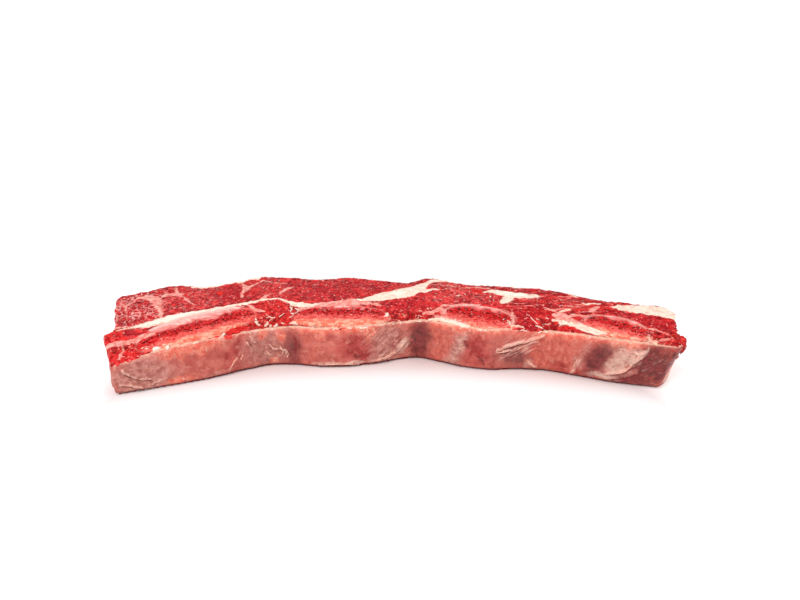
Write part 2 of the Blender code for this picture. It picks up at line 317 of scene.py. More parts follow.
# Where things are on the cut face, seen from above: lines of (x, y, half width)
creamFat = {
    "ribSeam": [(-128.4, -18.2, 0.8), (-122.4, -15.4, 2.6), (-116.4, -11.8, 3.3), (-110.1, -7.8, 3),
                (-102.8, -3.7, 2.1), (-93.8, 0.5, 1.4), (-83.6, 4.6, 1.2), (-76, 8, 1.3), (-70, 10.8, 1.1),
                (-64.5, 13, 0.8), (-59.5, 13.6, 0.7), (-55, 11.5, 1)],
    "middleStart": [(-54, 10.3, 0.7), (-49.6, 8, 1.9), (-45, 6.4, 2.1), (-40, 6.4, 1.5), (-36, 7.6, 0.6)],
    "middleSeam": [(-16, 11.4, 0.5), (-11.6, 12.7, 1.7), (-4.6, 15, 3.9), (3.4, 17.6, 4.9),
                   (10.4, 20.4, 5.4), (16, 24.3, 4.4), (20, 29.5, 2.6), (22.5, 34.5, 1.7),
                   (26.5, 38.6, 1.7), (31.5, 38.8, 1.4), (35.5, 36.6, 0.7)],
    "lowerBranch": [(15, 22.8, 3.2), (21, 23.8, 2.6), (25.5, 24.6, 1.4), (29, 24, 0.4)],
    "outerPatch": [(54.5, 20.8, 0.8), (59, 21.6, 2.2), (64, 19.2, 3.4), (70, 16.3, 3.5), (76, 15.2, 3.4),
                   (82, 15, 2)],
    "patchLobe": [(67, 13, 3), (64, 8.5, 2.4), (61.5, 5.6, 0.9)],
    "cap": [(119.5, 0.2, 0.8), (124, 0, 3), (130, -1.7, 4.7), (138, -3.6, 6.2), (145, -6, 6.8),
            (151, -8, 6.8)],
    "capBar": [(105.5, 4, 0.5), (109.5, 4.6, 1), (114, 4.8, 0.7)],
    "ribFourFat": [(86.5, -11, 0.5), (90, -13.6, 1.4), (94, -17.6, 2.6), (99, -22, 3.2),
                   (104.5, -26.2, 2.4), (108, -27.6, 1)],
    "ribThreeFat": [(23, -10.6, 0.9), (28, -11.2, 1.7), (34, -14.4, 2), (40, -18.6, 1.7), (44, -20.4, 0.8)],
    "backEdge": [(-118, 35.6, 0.8), (-111, 33.2, 1.6), (-105, 32.2, 1.8), (-99.5, 33.2, 1.8),
                 (-95.5, 36, 2), (-91, 38.8, 2), (-86, 40.2, 1.8), (-82.5, 42.6, 2), (-76, 45.2, 1.8),
                 (-72, 46.6, 0.9)],
    "backStreak": [(100.2, 17.8, 0.5), (102, 16, 0.9), (104, 13.6, 0.5)],
    "backFleck": [(70.4, 29.2, 0.7), (73, 27.6, 0.5)],
}
pinkFat = {
    "ribOneTop": [(-118.5, -20.5, 1), (-113.6, -16.3, 1.6), (-106.9, -10.2, 1.9), (-99.5, -5.2, 1.9),
                  (-91.7, -0.8, 1.5), (-83, 2.6, 1.1), (-76.3, 4.6, 0.6)],
    "ribTwoTop": [(-46, 2.6, 1.2), (-38, 5.8, 1.9), (-30, 7.6, 2.2), (-20, 8.6, 2.2), (-10, 8.6, 1.7),
                  (-3, 6.8, 0.8)],
    "middleThin": [(-38, 7.8, 1), (-30, 9.4, 1.2), (-21.6, 10.8, 1.1), (-13, 12.6, 1)],
    "roundPatch": [(-73.8, 6.2, 0.5), (-71, 3.2, 0.9), (-67.4, 1, 0.9), (-64.4, 0.2, 0.4)],
    "leftPatch": [(-137, 16.5, 1.1), (-133, 18.5, 2.3), (-128.5, 16, 2.9), (-125, 11.5, 2.5),
                  (-122.8, 6, 1.6), (-120, 1, 1.1), (-117.8, -3.5, 0.9), (-116.5, -8.5, 0.9)],
    "leftBranch": [(-137, 16, 0.5), (-138.8, 10, 0.4), (-139.6, 6, 0.6), (-138.6, 2, 0.3), (-136, -4, 0.15),
                   (-133, -11, 0.1)],
    "leftTwig": [(-144.6, 9.4, 0.5), (-141.5, 7.2, 0.6), (-139.6, 5.8, 0.6)],
    "upperPatch": [(-124.6, 19.6, 0.7), (-121.5, 21, 1.1), (-117.5, 21.8, 1.9), (-114.6, 21.6, 1.5)],
    "upperTwig": [(-117, 23.5, 1), (-119, 27.5, 0.6), (-120.8, 31.5, 0.4)],
    "lowerTwig": [(-115, 19.5, 0.9), (-111, 15.6, 0.6), (-107, 11.2, 0.45), (-103, 7, 0.35)],
    "leftLink": [(-124.4, 19.6, 0.55), (-124.3, 15.5, 0.45), (-123.2, 12, 0.55)],
    "bladeLine": [(-85.8, 38.6, 0.5), (-82, 34, 0.7), (-80.4, 30, 1.3), (-79.6, 26, 1.4), (-80.6, 21, 0.7),
                  (-80, 16, 0.4)],
    "bladeArc": [(-79.4, 27, 0.8), (-77.2, 32, 0.5), (-75, 36.4, 0.5), (-72.2, 40, 0.6), (-69, 38.6, 0.4),
                 (-64, 36.5, 0.35), (-58, 37.2, 0.6)],
    "bladeStreak": [(-53.2, 29.6, 0.4), (-57, 26.4, 0.9), (-59.5, 23.2, 0.6), (-58.8, 19.8, 0.5)],
    "roundHalo": [(-67.6, 13.4, 0.9), (-66.6, 17.6, 1), (-64, 20, 0.5)],
    "tipFascia": [(-135.5, -35, 0.9), (-130, -31.4, 1.2), (-124, -28.6, 1.4), (-119, -26, 1.6),
                  (-115, -24.6, 1.2)],
    "tipRim": [(-142.6, -21, 0.5), (-138, -19.6, 0.7), (-133, -18.2, 0.8), (-128.4, -16.8, 0.8)],
    "lumpFascia": [(-128, -33, 0.5), (-125.6, -37, 0.4), (-127, -42, 0.4)],
    "ribThreeEnd": [(20, -1, 0.7), (25, -1.6, 1.5), (29, 1.5, 2), (31, -4, 1.5)],
    "ribThreeTop": [(30, 4.9, 0.8), (38, 5.5, 0.8), (45, 5.3, 0.7), (50, 4.4, 0.5)],
    "ribThreeRim": [(60.5, -19.5, 0.5), (64.5, -15.5, 0.8), (66, -10, 0.6), (65.8, -5, 0.4)],
    "ribFourHalo": [(84, 0.6, 0.4), (89, -4, 1), (94, -9, 1.5), (98.5, -8.2, 1), (104, -8.6, 0.4)],
    "capWedge": [(112.8, 0.8, 0.7), (109.4, -1.8, 1.6), (107, -5, 0.9)],
    "behindOval": [(30, 31, 0.2), (37, 30.6, 0.7), (44, 28.6, 0.4), (52, 28.4, 0.8), (58, 26.4, 0.2)],
    "ribFourSide": [(88, -7, 1.4), (92.5, -11.5, 2.2), (97, -15.6, 2), (101.5, -19.6, 1.4)],
    "ribThreeSide": [(26, -6, 1.2), (31, -9.6, 1.8), (36, -13, 1.4)],
    "tipStrands": [(130, -22.4, 0.35), (136, -25.2, 0.4), (141, -28.6, 0.4)],
    "tipStrandsLow": [(131, -34, 0.5), (135, -31.2, 0.4), (140, -33, 0.4)],
}
whiteFat = {   # the whitest parts of the fat
    "seamHeart": [(-122.4, -15.4, 0.6), (-116.4, -11.4, 2.2), (-110.1, -7.6, 2.2), (-102.8, -3.6, 1.2),
                  (-96, -0.6, 0.4)],
    "patchHeart": [(60, 21.2, 0.8), (66, 18.6, 2.2), (76, 15.6, 2)],
    "wedgeHeart": [(0, 17, 1), (9, 20, 2)],
}
fatCurls = {   # small loose curls and beads of fat, which also stand up from the face
    "curlE": [(-48, -12.6, 0.6), (-42, -13, 0.7)],
    "curlF": [(-39.6, -12.8, 0.8), (-37, -16.4, 0.9), (-30, -17.2, 0.7)],
    "curlG": [(1, -4, 0.5), (1.6, -7.4, 0.7)],
    "curlH": [(6.8, -9.4, 0.5), (8.8, -11.6, 0.5)],
    "curlK": [(64, -19.8, 0.6), (66.4, -20.8, 0.5)],
    "curlL": [(127.6, -34.4, 0.6), (130.4, -37, 0.8)],
    "curlN": [(24, -11, 0.5), (26.8, -12.6, 0.7)],
    "curlO": [(90.6, -4.6, 0.5), (96.4, -2.4, 0.6)],
}
# Ovals on the cut face: (x, y, half length, half width, turn, strength)
faceZones = {
    "marbled": [(-134, 6, 15, 26, 10, 1), (-113, 20, 20, 15, 20, 0.34), (-106, 6, 18, 8, 25, 0.4),
                (-66, 30, 12, 14, 0, 0.15), (42, 14, 20, 8, 0, 0.15)],
    "flecked": [(42, 14, 20, 8, 0, 0.8), (-66, 28, 16, 16, 0, 0.22), (-92, 22, 22, 16, 20, 0.08),
                (45, 27, 16, 4, -12, 0.7), (-25, 26, 36, 20, 0, 0.25), (35, 32, 12, 7, 0, 0.9),
                (92, 6, 18, 9, -20, 0.4)],
    "deep": [(-25, 27, 32, 15, 0, 0.7), (12, 6.5, 12, 5.5, -12, 1), (132, -17.5, 17, 7.5, -22, 1),
             (41, 13, 13, 6, -10, 0.4), (-96, 26, 14, 12, 10, 0.6), (-88, 20, 13, 10, 15, 1),
             (70, -13, 5.5, 12, 10, 1), (84, -1, 14, 5, -25, 0.8), (-58, 4, 5, 4, 0, 0.5),
             (131, -30, 5, 5, 0, 0.9)],
    "bright": [(-62, 5, 9, 8, -20, 0.8), (-135, -26, 5, 7, 20, 1), (-122, -40, 10, 6, 0, 0.9),
               (-74.5, -21, 2.4, 5.5, -20, 1), (51, 21.6, 4.5, 1.6, -30, 1), (78, -3, 16, 3.5, -22, 0.7),
               (8, -6, 14, 4.5, 0, 0.9), (92, -21.5, 3, 2.4, 0, 1), (-56, -9, 18, 6, 0, 0.8),
               (-82, -1, 10, 3, 20, 0.7), (-5, 22, 12, 2.5, 25, 0.6), (45, 27, 16, 4, -12, 0.8),
               (-68, 27, 12, 9, 0, 0.6), (-104, 20, 6, 5, 0, 0.4), (-108, 22, 6, 5, 0, 0.3),
               (143, -31, 6, 7, 0, 0.9), (-93, 23, 1.4, 4, 20, 1), (92, -11, 2, 1.6, 0, 1),
               (31, -14, 1.4, 3, 10, 0.9)],
    "streaked": [(88, 10, 40, 15, -18, 1), (45, 27, 20, 7, -15, 0.8)],
    "peach": [(-92, -27.5, 20, 5, 28, 1), (-17, -14.6, 21, 5, 0, 1), (51, -18.5, 13, 3.6, -14, 0.9),
              (113, -29.5, 13, 4, -22, 0.9), (-34, -12, 8, 3, -20, 0.7)],
    "fresh": [(-74.6, -19.6, 7, 2.6, 52, 1), (93.4, -20.8, 3.6, 2.2, -24, 0.9),
              (-12, -18.6, 2.4, 1.1, 0, 0.6), (-20, -17.3, 9, 1.5, 3, 0.4),
              (51.4, 21.2, 4.6, 1.4, -30, 0.9), (31, -13.6, 1.2, 2.6, 10, 0.8),
              (93, -10.6, 2.2, 1.3, 0, 0.8), (-93, 22.5, 1.6, 4.4, 20, 0.7), (60, -21.2, 3.2, 1, -10, 0.7),
              (-129, -28.5, 5, 1.3, 10, 0.5)],
}
raggedZones = ("deep", "bright", "peach", "fresh")   # their edges are as ragged as the seams'
# Rounded lumps of muscle: (x, y, half length, half width, turn, height)
lumpsOfMuscle = [(-62, 5.5, 9.5, 7.5, -20, 0.9), (70.5, -13, 5.4, 11.5, 8, 1.7),
                 (92, -21, 4.4, 2.8, -20, 1.2), (-137, -27, 7, 8, 20, 0.8), (-80, -1.5, 9, 3, 22, 0.7),
                 (86, -6, 9, 3.4, -28, 1), (134, -25.5, 8, 3, -30, 0.9), (-49, -6, 6, 4, 30, 0.9),
                 (12, 6.5, 12, 5.5, -12, 0.5), (141, -31.5, 4.5, 3.5, -30, 0.8),
                 (-122, -39, 5, 3.4, 20, 1.3), (-129, -43, 4, 3, -10, 1.1)]
valleys = [(-124, -36, 11, 8, 10, 1), (-60, -9, 17, 8, 0, 1), (10, -5, 16, 6.5, 0, 1),
           (80, -14, 14, 10, -15, 1), (135, -30, 12, 8, -20, 1)]


# Flesh: muscle, its fat seams and the cap of fat

flesh = {
    "voxel": 1.08,
    "fatSpread": 0.6,       # how far the fat solids swell into the meat before they are fused
    "pocketSqueeze": 0.35,  # how far the pockets close on the bones
    "fatRise": 0.30,
    "curlRise": 0.75,
    "boneRim": 0.25,        # how far the flesh stands up round each rib
    "fibreRelief": 0.26,
    "lumpSize": 3.0,
    "lumpRelief": 1.5,
    "lumpSink": 0.55,
    "wallRelief": 0.55,
    "seamRag": 0.9,
    "tipRag": 1.3,          # shreds of the right end
    "footTuck": 0.8,        # how far the walls draw in above the table
}
fleshTones = {
    "redDark": (184, 28, 36), "red": (210, 36, 38), "bundleLight": (232, 56, 54), "bundleDark": (138, 2, 12),
    "grainLight": (240, 90, 86), "grainDark": (124, 0, 10), "deep": (174, 22, 32),
    "brightDark": (176, 6, 10), "bright": (234, 44, 38),
    "bandLight": (222, 50, 44), "bandDark": (150, 12, 22),
    "strandLight": (248, 160, 150), "strandDark": (136, 4, 12), "marbledRed": (174, 14, 28),
    "thinWeb": (240, 130, 126), "web": (248, 180, 172), "fleck": (252, 192, 180), "speck": (252, 186, 176),
    "lumpDark": (182, 14, 18), "lump": (232, 50, 44), "lumpGlint": (250, 150, 136),
    "lumpGrooveShade": (146, 4, 10), "creviceShade": (96, 0, 6), "freshDark": (196, 12, 14), "fresh": (232, 46, 40),
    "byBone": (240, 146, 136),
    "pinkDark": (238, 134, 124), "pink": (250, 184, 170), "creamEdge": (240, 142, 130),
    "cream": (250, 227, 209), "creamWarm": (246, 200, 180), "creamWhite": (254, 243, 230),
    "band": (240, 206, 198), "curl": (252, 196, 168), "skinRed": (184, 44, 44), "skinPink": (226, 128, 112),
    "skinPale": (246, 206, 184), "skinWhite": (252, 224, 204), "endFatDark": (222, 150, 128),
    "endFat": (244, 200, 176), "foot": (140, 14, 12),
}
peachTones = {"peachDark": (238, 112, 86), "peach": (250, 176, 148), "peachPale": (252, 216, 192),
              "peachRed": (224, 84, 66)}


def seamPlan(points):
    # the points seen from above, shifted so that the seams' edges come out ragged
    return points[:, :2] + shake(points, 3.0, (1, 2)) * flesh["seamRag"]


def makeFlesh():
    fatNodes = ["fat_seam_ribs", "fat_seam_middle", "fat_seam_outer", "fat_cap"]
    spread = {name: flesh["fatSpread"] for name in fatNodes}
    piece = remeshed("flesh", ["meat"] + fatNodes, flesh["voxel"], spread)
    mesh = piece.data
    refineFaces(mesh, lambda f: f.normal.z > 0.6)
    points, normals = pointsOf(mesh), normalsOf(mesh)
    plan, wavy = points[:, :2], seamPlan(points)
    cream, pink = insideLines(wavy, creamFat), insideLines(wavy, pinkFat)
    curls = insideLines(plan, fatCurls)
    domes = [height * np.sqrt(inPatches(wavy, [(*oval, 1.0)], 1.0)) for *oval, height in lumpsOfMuscle]
    dome = np.max(domes, axis=0)
    lumpy = inPatches(plan, valleys) * smooth(0.75, 0.35, dome)
    toBone = gapTo(treeOf(*[f"rib_bone_{n}" for n in range(1, 5)]), points)
    top = smooth(0.3, 0.8, normals[:, 2])
    side = 1 - np.abs(normals[:, 2])

    rise = top * flesh["fatRise"] * smooth(-0.3, 0.6, np.maximum(cream, pink - 0.2))
    rise += top * flesh["curlRise"] * smooth(-0.2, 0.5, curls)
    rise += top * flesh["boneRim"] * smooth(1.7, 0.5, toBone)
    rise += flesh["fibreRelief"] * (noiseAt(points, 1.7, 3) + 1.6 * noiseAt(points, 4.2, 4, 2))
    marbled = inPatches(plan, faceZones["marbled"])
    rise += 0.5 * marbled * top * (smooth(0.0, 0.45, cellsAt(points * (1, 1, 0.3), 3.0, 5)[0]) - 0.6)
    shaken = points + shake(points, 2.2, (31, 32, 33), 2) * 2.0
    gap, tone = cellsAt(shaken * (0.62, 1.25, 0.5), flesh["lumpSize"], 7)
    torn = 1 - np.abs(noiseAt(points, (2.6, 2.0, 4.0), 6, 2)) * 3.2
    height = flesh["lumpRelief"] * (0.5 * smooth(0.0, 0.35, gap) + 0.5 * torn + 0.4 * tone - 0.75)
    rise += lumpy * (height - flesh["lumpSink"]) * top + 0.6 * dome * top
    rise += flesh["wallRelief"] * side * (noiseAt(points, (9, 9, 4), 8) + 0.5 * noiseAt(points, 2.6, 9))
    behindSkin = (normals[:, 1] < -0.25) & (top < 0.5) & (points[:, 0] > -129)
    rise = np.where(behindSkin, -0.25, rise)
    tip = smooth(132, 142, points[:, 0]) * smooth(-12, -24, points[:, 1]) * smooth(11, 18, points[:, 2])
    rise += tip * flesh["tipRag"] * (np.abs(noiseAt(points, (3.0, 3.0, 2.2), 15, 2)) * 2.2 - 0.4)
    rise -= side * flesh["footTuck"] * smooth(2.0, 0.4, points[:, 2])
    inPocket = (toBone < 0.8) & (np.abs(normals[:, 2]) < 0.6)
    rise = np.where(inPocket, flesh["pocketSqueeze"], rise)
    underside = normals[:, 2] < -0.7
    rise = np.where(underside, 0.0, rise)
    moved = points + normals * rise[:, None]
    moved[underside, 2] = 0.0
    moved[:, 2] = np.maximum(moved[:, 2], 0.0)
    setPoints(mesh, moved)

    endFat = smooth(125, 131, points[:, 0]) * smooth(-18, -26, points[:, 1]) * side
    fields = {
        "white": insideLines(wavy, whiteFat), "band": insideLine(wavy, pinkFat["ribOneTop"]),
        "cream": np.maximum(cream, curls), "curls": curls, "pink": pink, "tone": tone, "lumpy": lumpy,
        "creviceShade": np.maximum(smooth(0.16, 0.0, gap), smooth(0.40, -0.1, torn)),
        "toBone": toBone, "outer": smooth(0.35, 0.75, normals[:, 1]) * (points[:, 2] > 0.5),
        "endFat": endFat * smooth(11, 7, points[:, 2] + 2.5 * noiseAt(points, 5.0, 16)),
        "height": points[:, 2],
    }
    for name, zones in faceZones.items():
        fields[name] = inPatches(wavy if name in raggedZones else plan, zones)
    setFields(mesh, fields)
    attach(piece, "root")
    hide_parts("meat", *fatNodes)
    dress(piece, fleshFinish())
    return piece


def fleshFinish():
    f = Finish("raw_beef", moist(0.06, (1.0, 0.30, 0.20), 0.22, bend=1.40), fleshTones | peachTones)
    fine = f.grain(1.1, 3.0)
    grain = f.grain(2.1, 3.0, f.bent(3.0, 1.0), 0.65)
    coarse = f.grain(7.0, 3.0)
    wobble = f.grain(1.5, 3.0) - 0.5
    bundle = f.node("TexVoronoi", {"feature": "F1"}, {"Vector": f.bent(2.6, 1.8), "Scale": 1 / 2.1},
                    output="Color")
    muscle = f.layers(f.blend(coarse, 0.35, 0.68, "redDark", "red"),
                      (bundle, 0.60, 0.74, 0.85, "bundleLight"), (bundle, 0.40, 0.28, 0.90, "bundleDark"),
                      (grain, 0.58, 0.65, 0.85, "grainLight"), (grain, 0.46, 0.38, 0.85, "grainDark"))
    muscle = f.mix(f.field("deep") * 0.4, muscle, "deep")
    muscle = f.mix(f.field("bright") * 0.65, muscle, f.blend(grain, 0.42, 0.58, "brightDark", "bright"))

    # strands along the muscle, then the marbling, its flecks and specks of painted wet highlight
    strands = f.grain(2.4, 3.0, f.moved((0.17, 1.1, 1.0), 20), bend=0.3)
    band = f.grain(6.0, 2.0, f.moved((0.22, 1.1, 1.0), 22))
    web = f.cells(3.6, f.bent(3.0, 2.0, f.moved((0.85, 1.1, 1.0))))
    thin = f.cells(2.1, f.bent(2.0, 1.4))
    flecks = f.grain(1.6, 2.0, f.bent(4.0, 1.5))
    streaked, marbled, flecked = f.field("streaked"), f.field("marbled"), f.field("flecked")
    muscle = f.layers(muscle,
                      (band, 0.52, 0.60, streaked * 0.55, "bandLight"),
                      (band, 0.46, 0.38, streaked * 0.55, "bandDark"),
                      (strands, 0.57, 0.65, streaked * 0.85, "strandLight"),
                      (strands, 0.45, 0.35, streaked * 0.80, "strandDark"),
                      (web, 0.07, 0.16, marbled * 0.55, "marbledRed"),
                      (thin, 0.08, 0.03, marbled * 0.12 + flecked * 0.20, "thinWeb"))
    webShare = f.step(web, 0.075, 0.02) * marbled * f.step(coarse, 0.36, 0.54)
    muscle = f.mix(webShare * 0.95, muscle, "web")
    # the fat's flecks, then specks of painted wet highlight
    muscle = f.layers(muscle,
                      (flecks, 0.64, 0.68, flecked * 0.9, "fleck"),
                      (f.grain(1.3, 1.0), 0.67, 0.71, 0.75, "speck"))

    # the lumps: red tones with painted pale glints on their highs and painted shade in their grooves and
    # crevices
    lump = f.layers(f.blend(f.field("tone"), 0.10, 0.70, "lumpDark", "lump"),
                    (grain, 0.56, 0.64, 1.0, "lumpGlint"), (grain, 0.46, 0.38, 1.0, "lumpGrooveShade"))
    lump = f.mix(f.field("creviceShade") * 0.8, lump, "creviceShade")
    muscle = f.mix(f.field("lumpy") * 0.9, muscle, lump)
    fresh = f.blend(grain, 0.38, 0.62, "freshDark", "fresh")
    muscle = f.layers(muscle,
                      (f.field("peach") + wobble * 0.9, 0.32, 0.62, 0.95, peachTone(f)),
                      (f.field("fresh") + wobble * 0.9, 0.30, 0.60, 1.0, fresh),
                      (f.field("toBone") + wobble * 2.0, 1.5, 0.3, 0.6, "byBone"))

    raggedCream = f.field("cream") + wobble * 1.7
    pinkShare = f.step(f.field("pink") + wobble * 1.5, -0.50, 0.25)
    creamShare = f.step(raggedCream, -0.25, 0.25)
    cream = f.layers(f.blend(f.grain(2.6, 3.0), 0.44, 0.68, "cream", "creamWarm"),
                     (f.field("white") + wobble * 2.0, -0.6, 0.8, 0.7, "creamWhite"))
    colour = f.mix(pinkShare * 0.92, muscle, f.blend(grain, 0.4, 0.6, "pinkDark", "pink"))
    colour = f.layers(colour, (raggedCream, -0.9, 0.0, 0.5, "creamEdge"))
    colour = f.mix(creamShare, colour, cream)
    colour = f.layers(colour,
                      (f.field("band") + wobble, -0.3, 0.6, 0.55, "band"),
                      (f.field("curls") + wobble, -0.4, 0.2, 0.75, "curl"))

    # the outer wall's fat and silverskin, the fat at the right end, and painted contact shade along the foot
    skins = f.grain(6.0, 4.0, f.bent(8.0, 3.0, f.moved((0.22, 0.22, 1.3))))
    threads = f.grain(2.4, 3.0, f.moved((0.2, 0.2, 1.5)))
    outer = f.layers(f.blend(skins, 0.40, 0.56, "skinRed", "skinPink"),
                     (skins, 0.52, 0.66, 1.0, "skinPale"), (threads, 0.57, 0.66, 0.6, "skinWhite"))
    colour = f.mix(f.field("outer") * 0.85, colour, outer)
    colour = f.mix(f.field("endFat") * 0.9, colour, f.blend(fine, 0.4, 0.6, "endFatDark", "endFat"))
    # painted contact shade: darker towards the table
    colour = f.layers(colour, (f.field("height") + wobble, 1.6, 0.5, 1.0, "foot"))

    fat = f.maths("MAXIMUM", creamShare, pinkShare * 0.7)
    roughness = f.step(fine, 0.40, 0.62) * 0.26 + 0.22 + fat * 0.12 - f.field("lumpy") * 0.06
    height = grain * 0.7 + f.grain(0.6, 2.0) * 0.3 + webShare * 0.25 + strands * streaked * 0.5
    return f.done(colour, roughness, height, 0.7)


def peachTone(f):
    return f.layers(f.blend(f.grain(3.4, 3.0), 0.42, 0.58, "peachDark", "peach"),
                    (f.grain(1.1, 3.0), 0.58, 0.68, 0.8, "peachPale"),
                    (f.grain(1.7, 2.0), 0.42, 0.34, 0.6, "peachRed"))


# Ribs: a ring of sawn bone round each core of marrow

ribs = {
    "voxel": 0.52,
    "spread": 0.30,     # into the flesh, which closes the fitting gap
    "proud": 0.10,
    "rimRise": 0.10,
    "sawRelief": 0.07,
    "shell": 1.7,       # how thick the hard shell is before the sponge begins
    # each rib's middle and turn, half its width, where the red sponge lies across it (from -1 to 1),
    # and how clearly the hard shell shows as a ring
    "axes": [(-95, -17.5, 34.5), (-23.2, -6.3, 0), (48, -8, -22), (115.6, -21.1, -32)],
    "halfWidth": [11.2, 11.6, 11.2, 9.9],
    "span": [(0.56, -0.56), (0.80, -0.18), (0.74, -0.60), (0.74, -0.42)],
    "ring": [0.0, 0.0, 0.7, 0.5],
}
boneTones = peachTones | {
    "shellDark": (232, 144, 138), "shell": (248, 200, 190), "shellRim": (228, 104, 98),
    "lowDark": (234, 96, 86), "low": (244, 136, 120), "wallLow": (236, 96, 88), "wall": (204, 32, 34),
    "pitLow": (206, 38, 38), "pit": (120, 0, 6), "deepPit": (70, 0, 4), "glint": (254, 206, 192),
    "pinkDark": (240, 146, 134), "pink": (250, 190, 176), "cream": (252, 232, 214),
    "creamWarm": (247, 204, 184), "ring": (246, 200, 190), "ringLine": (206, 112, 108),
    "redSpeck": (226, 88, 80), "paleSpeck": (254, 216, 200),
}


def acrossRib(points, number):
    x, y, turn = ribs["axes"][number - 1]
    a = math.radians(turn)
    side = (points[:, 1] - y) * math.cos(a) - (points[:, 0] - x) * math.sin(a)
    return side / ribs["halfWidth"][number - 1]   # -1 at the membrane side, 1 at the outer side


def boneFields(mesh, points, number):
    # what rib and marrow share: the pits of the sponge, and how it lies across the rib
    shaken = points + shake(points, 1.6, (21, 22, 23)) * 0.7
    edge, tone = cellsAt(shaken * (0.8, 1.1, 0.5), marrow["pitSize"], 24)
    pit = smooth(0.10, 0.42, edge) * smooth(0.05, 0.45, tone)   # 0 on a bone wall, 1 in a pit
    high, low = ribs["span"][number - 1]
    share = (acrossRib(points, number) + 0.22 * noiseAt(points, 4.0, 14, 2) - low) / (high - low)
    spongy = smooth(-0.12, 0.10, share) * smooth(1.08, 0.92, share)
    wavy = seamPlan(points)
    setFields(mesh, {"share": share, "spongy": spongy, "pit": pit,
                     "cream": insideLines(wavy, creamFat), "pink": insideLines(wavy, pinkFat)})
    return pit, share, spongy


def makeRib(number, finish):
    node = f"rib_bone_{number}"
    piece = remeshed(f"rib_{number}", [node], ribs["voxel"])
    mesh = piece.data
    points, normals = pointsOf(mesh), normalsOf(mesh)
    outerGap = gapTo(treeOf("meat"), points)
    innerGap = gapTo(treeOf(f"marrow_{number}"), points)
    top = smooth(0.5, 0.9, normals[:, 2])
    onOuter = (outerGap < innerGap) & (np.abs(normals[:, 2]) < 0.6)
    rise = np.where(onOuter, ribs["spread"], 0.05) + top * ribs["proud"]
    rise += top * ribs["rimRise"] * smooth(2.4, 0.8, outerGap) * smooth(0.2, 0.9, outerGap)
    rise += top * ribs["sawRelief"] * (noiseAt(points, (6.0, 0.8, 2.0), 11) + noiseAt(points, 1.4, 12))
    ragged = outerGap + 0.9 * noiseAt(points, 2.2, 13, 2)
    pit, _, spongy = boneFields(mesh, points, number)
    spongy = spongy * smooth(ribs["shell"], ribs["shell"] + 1.0, ragged)
    rise -= top * spongy * (0.1 + 0.45 * pit)
    moved = points + normals * rise[:, None]
    moved[:, 2] = np.maximum(moved[:, 2], 0.0)
    moved[normals[:, 2] < -0.7, 2] = 0.0
    setPoints(mesh, moved)
    setFields(mesh, {"outerGap": outerGap, "across": acrossRib(points, number),
                     "ring": np.full(len(points), ribs["ring"][number - 1])})
    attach(piece, "root")
    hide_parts(node)
    dress(piece, finish)
    return piece


def boneTone(f):
    # Across each rib, from the outer side: a pale banded shell, the red sponge, salmon, then peach.
    fine = f.grain(1.2, 2.0)
    coarse = f.grain(4.0, 3.0)
    banded = f.grain(1.3, 2.0, f.moved((0.12, 0.9, 1.0)))
    share = f.field("share") + (f.grain(3.0, 2.0) - 0.5) * 0.5
    shell = f.layers(f.blend(banded, 0.44, 0.58, "shellDark", "shell"), (share, 1.25, 0.95, 0.8, "shellRim"))
    tone = f.layers(f.blend(coarse, 0.35, 0.65, "lowDark", "low"),
                    (share, -0.06, -0.34, 1.0, peachTone(f)), (share, 0.4, 0.6, 1.0, shell))
    upper = f.step(share, 0.22, 0.50)
    pit = f.field("pit") + (fine - 0.5) * 0.5
    sponge = f.blend(pit, 0.08, 0.48, f.mix(upper, "wallLow", "wall"), f.mix(upper, "pitLow", "pit"))
    sponge = f.layers(sponge, (pit, 0.76, 0.96, upper * 0.85, "deepPit"), (fine, 0.645, 0.70, 0.7, "glint"))
    tone = f.mix(f.field("spongy"), tone, sponge)
    ragged = (f.grain(1.5, 3.0) - 0.5) * 1.7
    pink = f.blend(coarse, 0.4, 0.6, "pinkDark", "pink")
    cream = f.blend(coarse, 0.44, 0.68, "cream", "creamWarm")
    return f.layers(tone, (f.field("pink") + ragged, -0.4, 0.4, 0.7, pink),
                    (f.field("cream") + ragged, -0.3, 0.3, 0.95, cream))


def ribFinish():
    f = Finish("sawn_rib_bone", moist(0.06, (1.0, 0.45, 0.35), 0.18), boneTones)
    fine = f.grain(1.1, 3.0)
    outerGap = f.field("outerGap")
    ring = f.field("ring") * f.step(f.field("across"), -0.5, 0.1)
    pale = f.step(outerGap, 1.9, 1.2) * f.step(outerGap, 0.3, 0.7)
    line = f.step(outerGap + (fine - 0.5) * 0.6, 2.5, 2.1) * f.step(outerGap, 1.5, 2.0)
    colour = f.mix(pale * ring * 0.75, boneTone(f), "ring")
    colour = f.mix(line * ring * 0.5, colour, "ringLine")
    colour = f.layers(colour, (f.grain(1.3, 1.0), 0.64, 0.70, 0.4, "redSpeck"),
                      (fine, 0.60, 0.70, 0.35, "paleSpeck"))
    height = fine * 0.6 + f.grain(1.0, 2.0, f.moved((0.2, 1.0, 1.0))) * 0.4
    return f.done(colour, 0.34 + fine * 0.2, height, 0.4)


# Marrow: a wet sponge of thin bone walls

marrow = {
    "voxel": 0.36,
    "spread": 0.42,
    "pitSize": 1.5,
    "pitDepth": 0.60,
    "lift": 0.42,
}


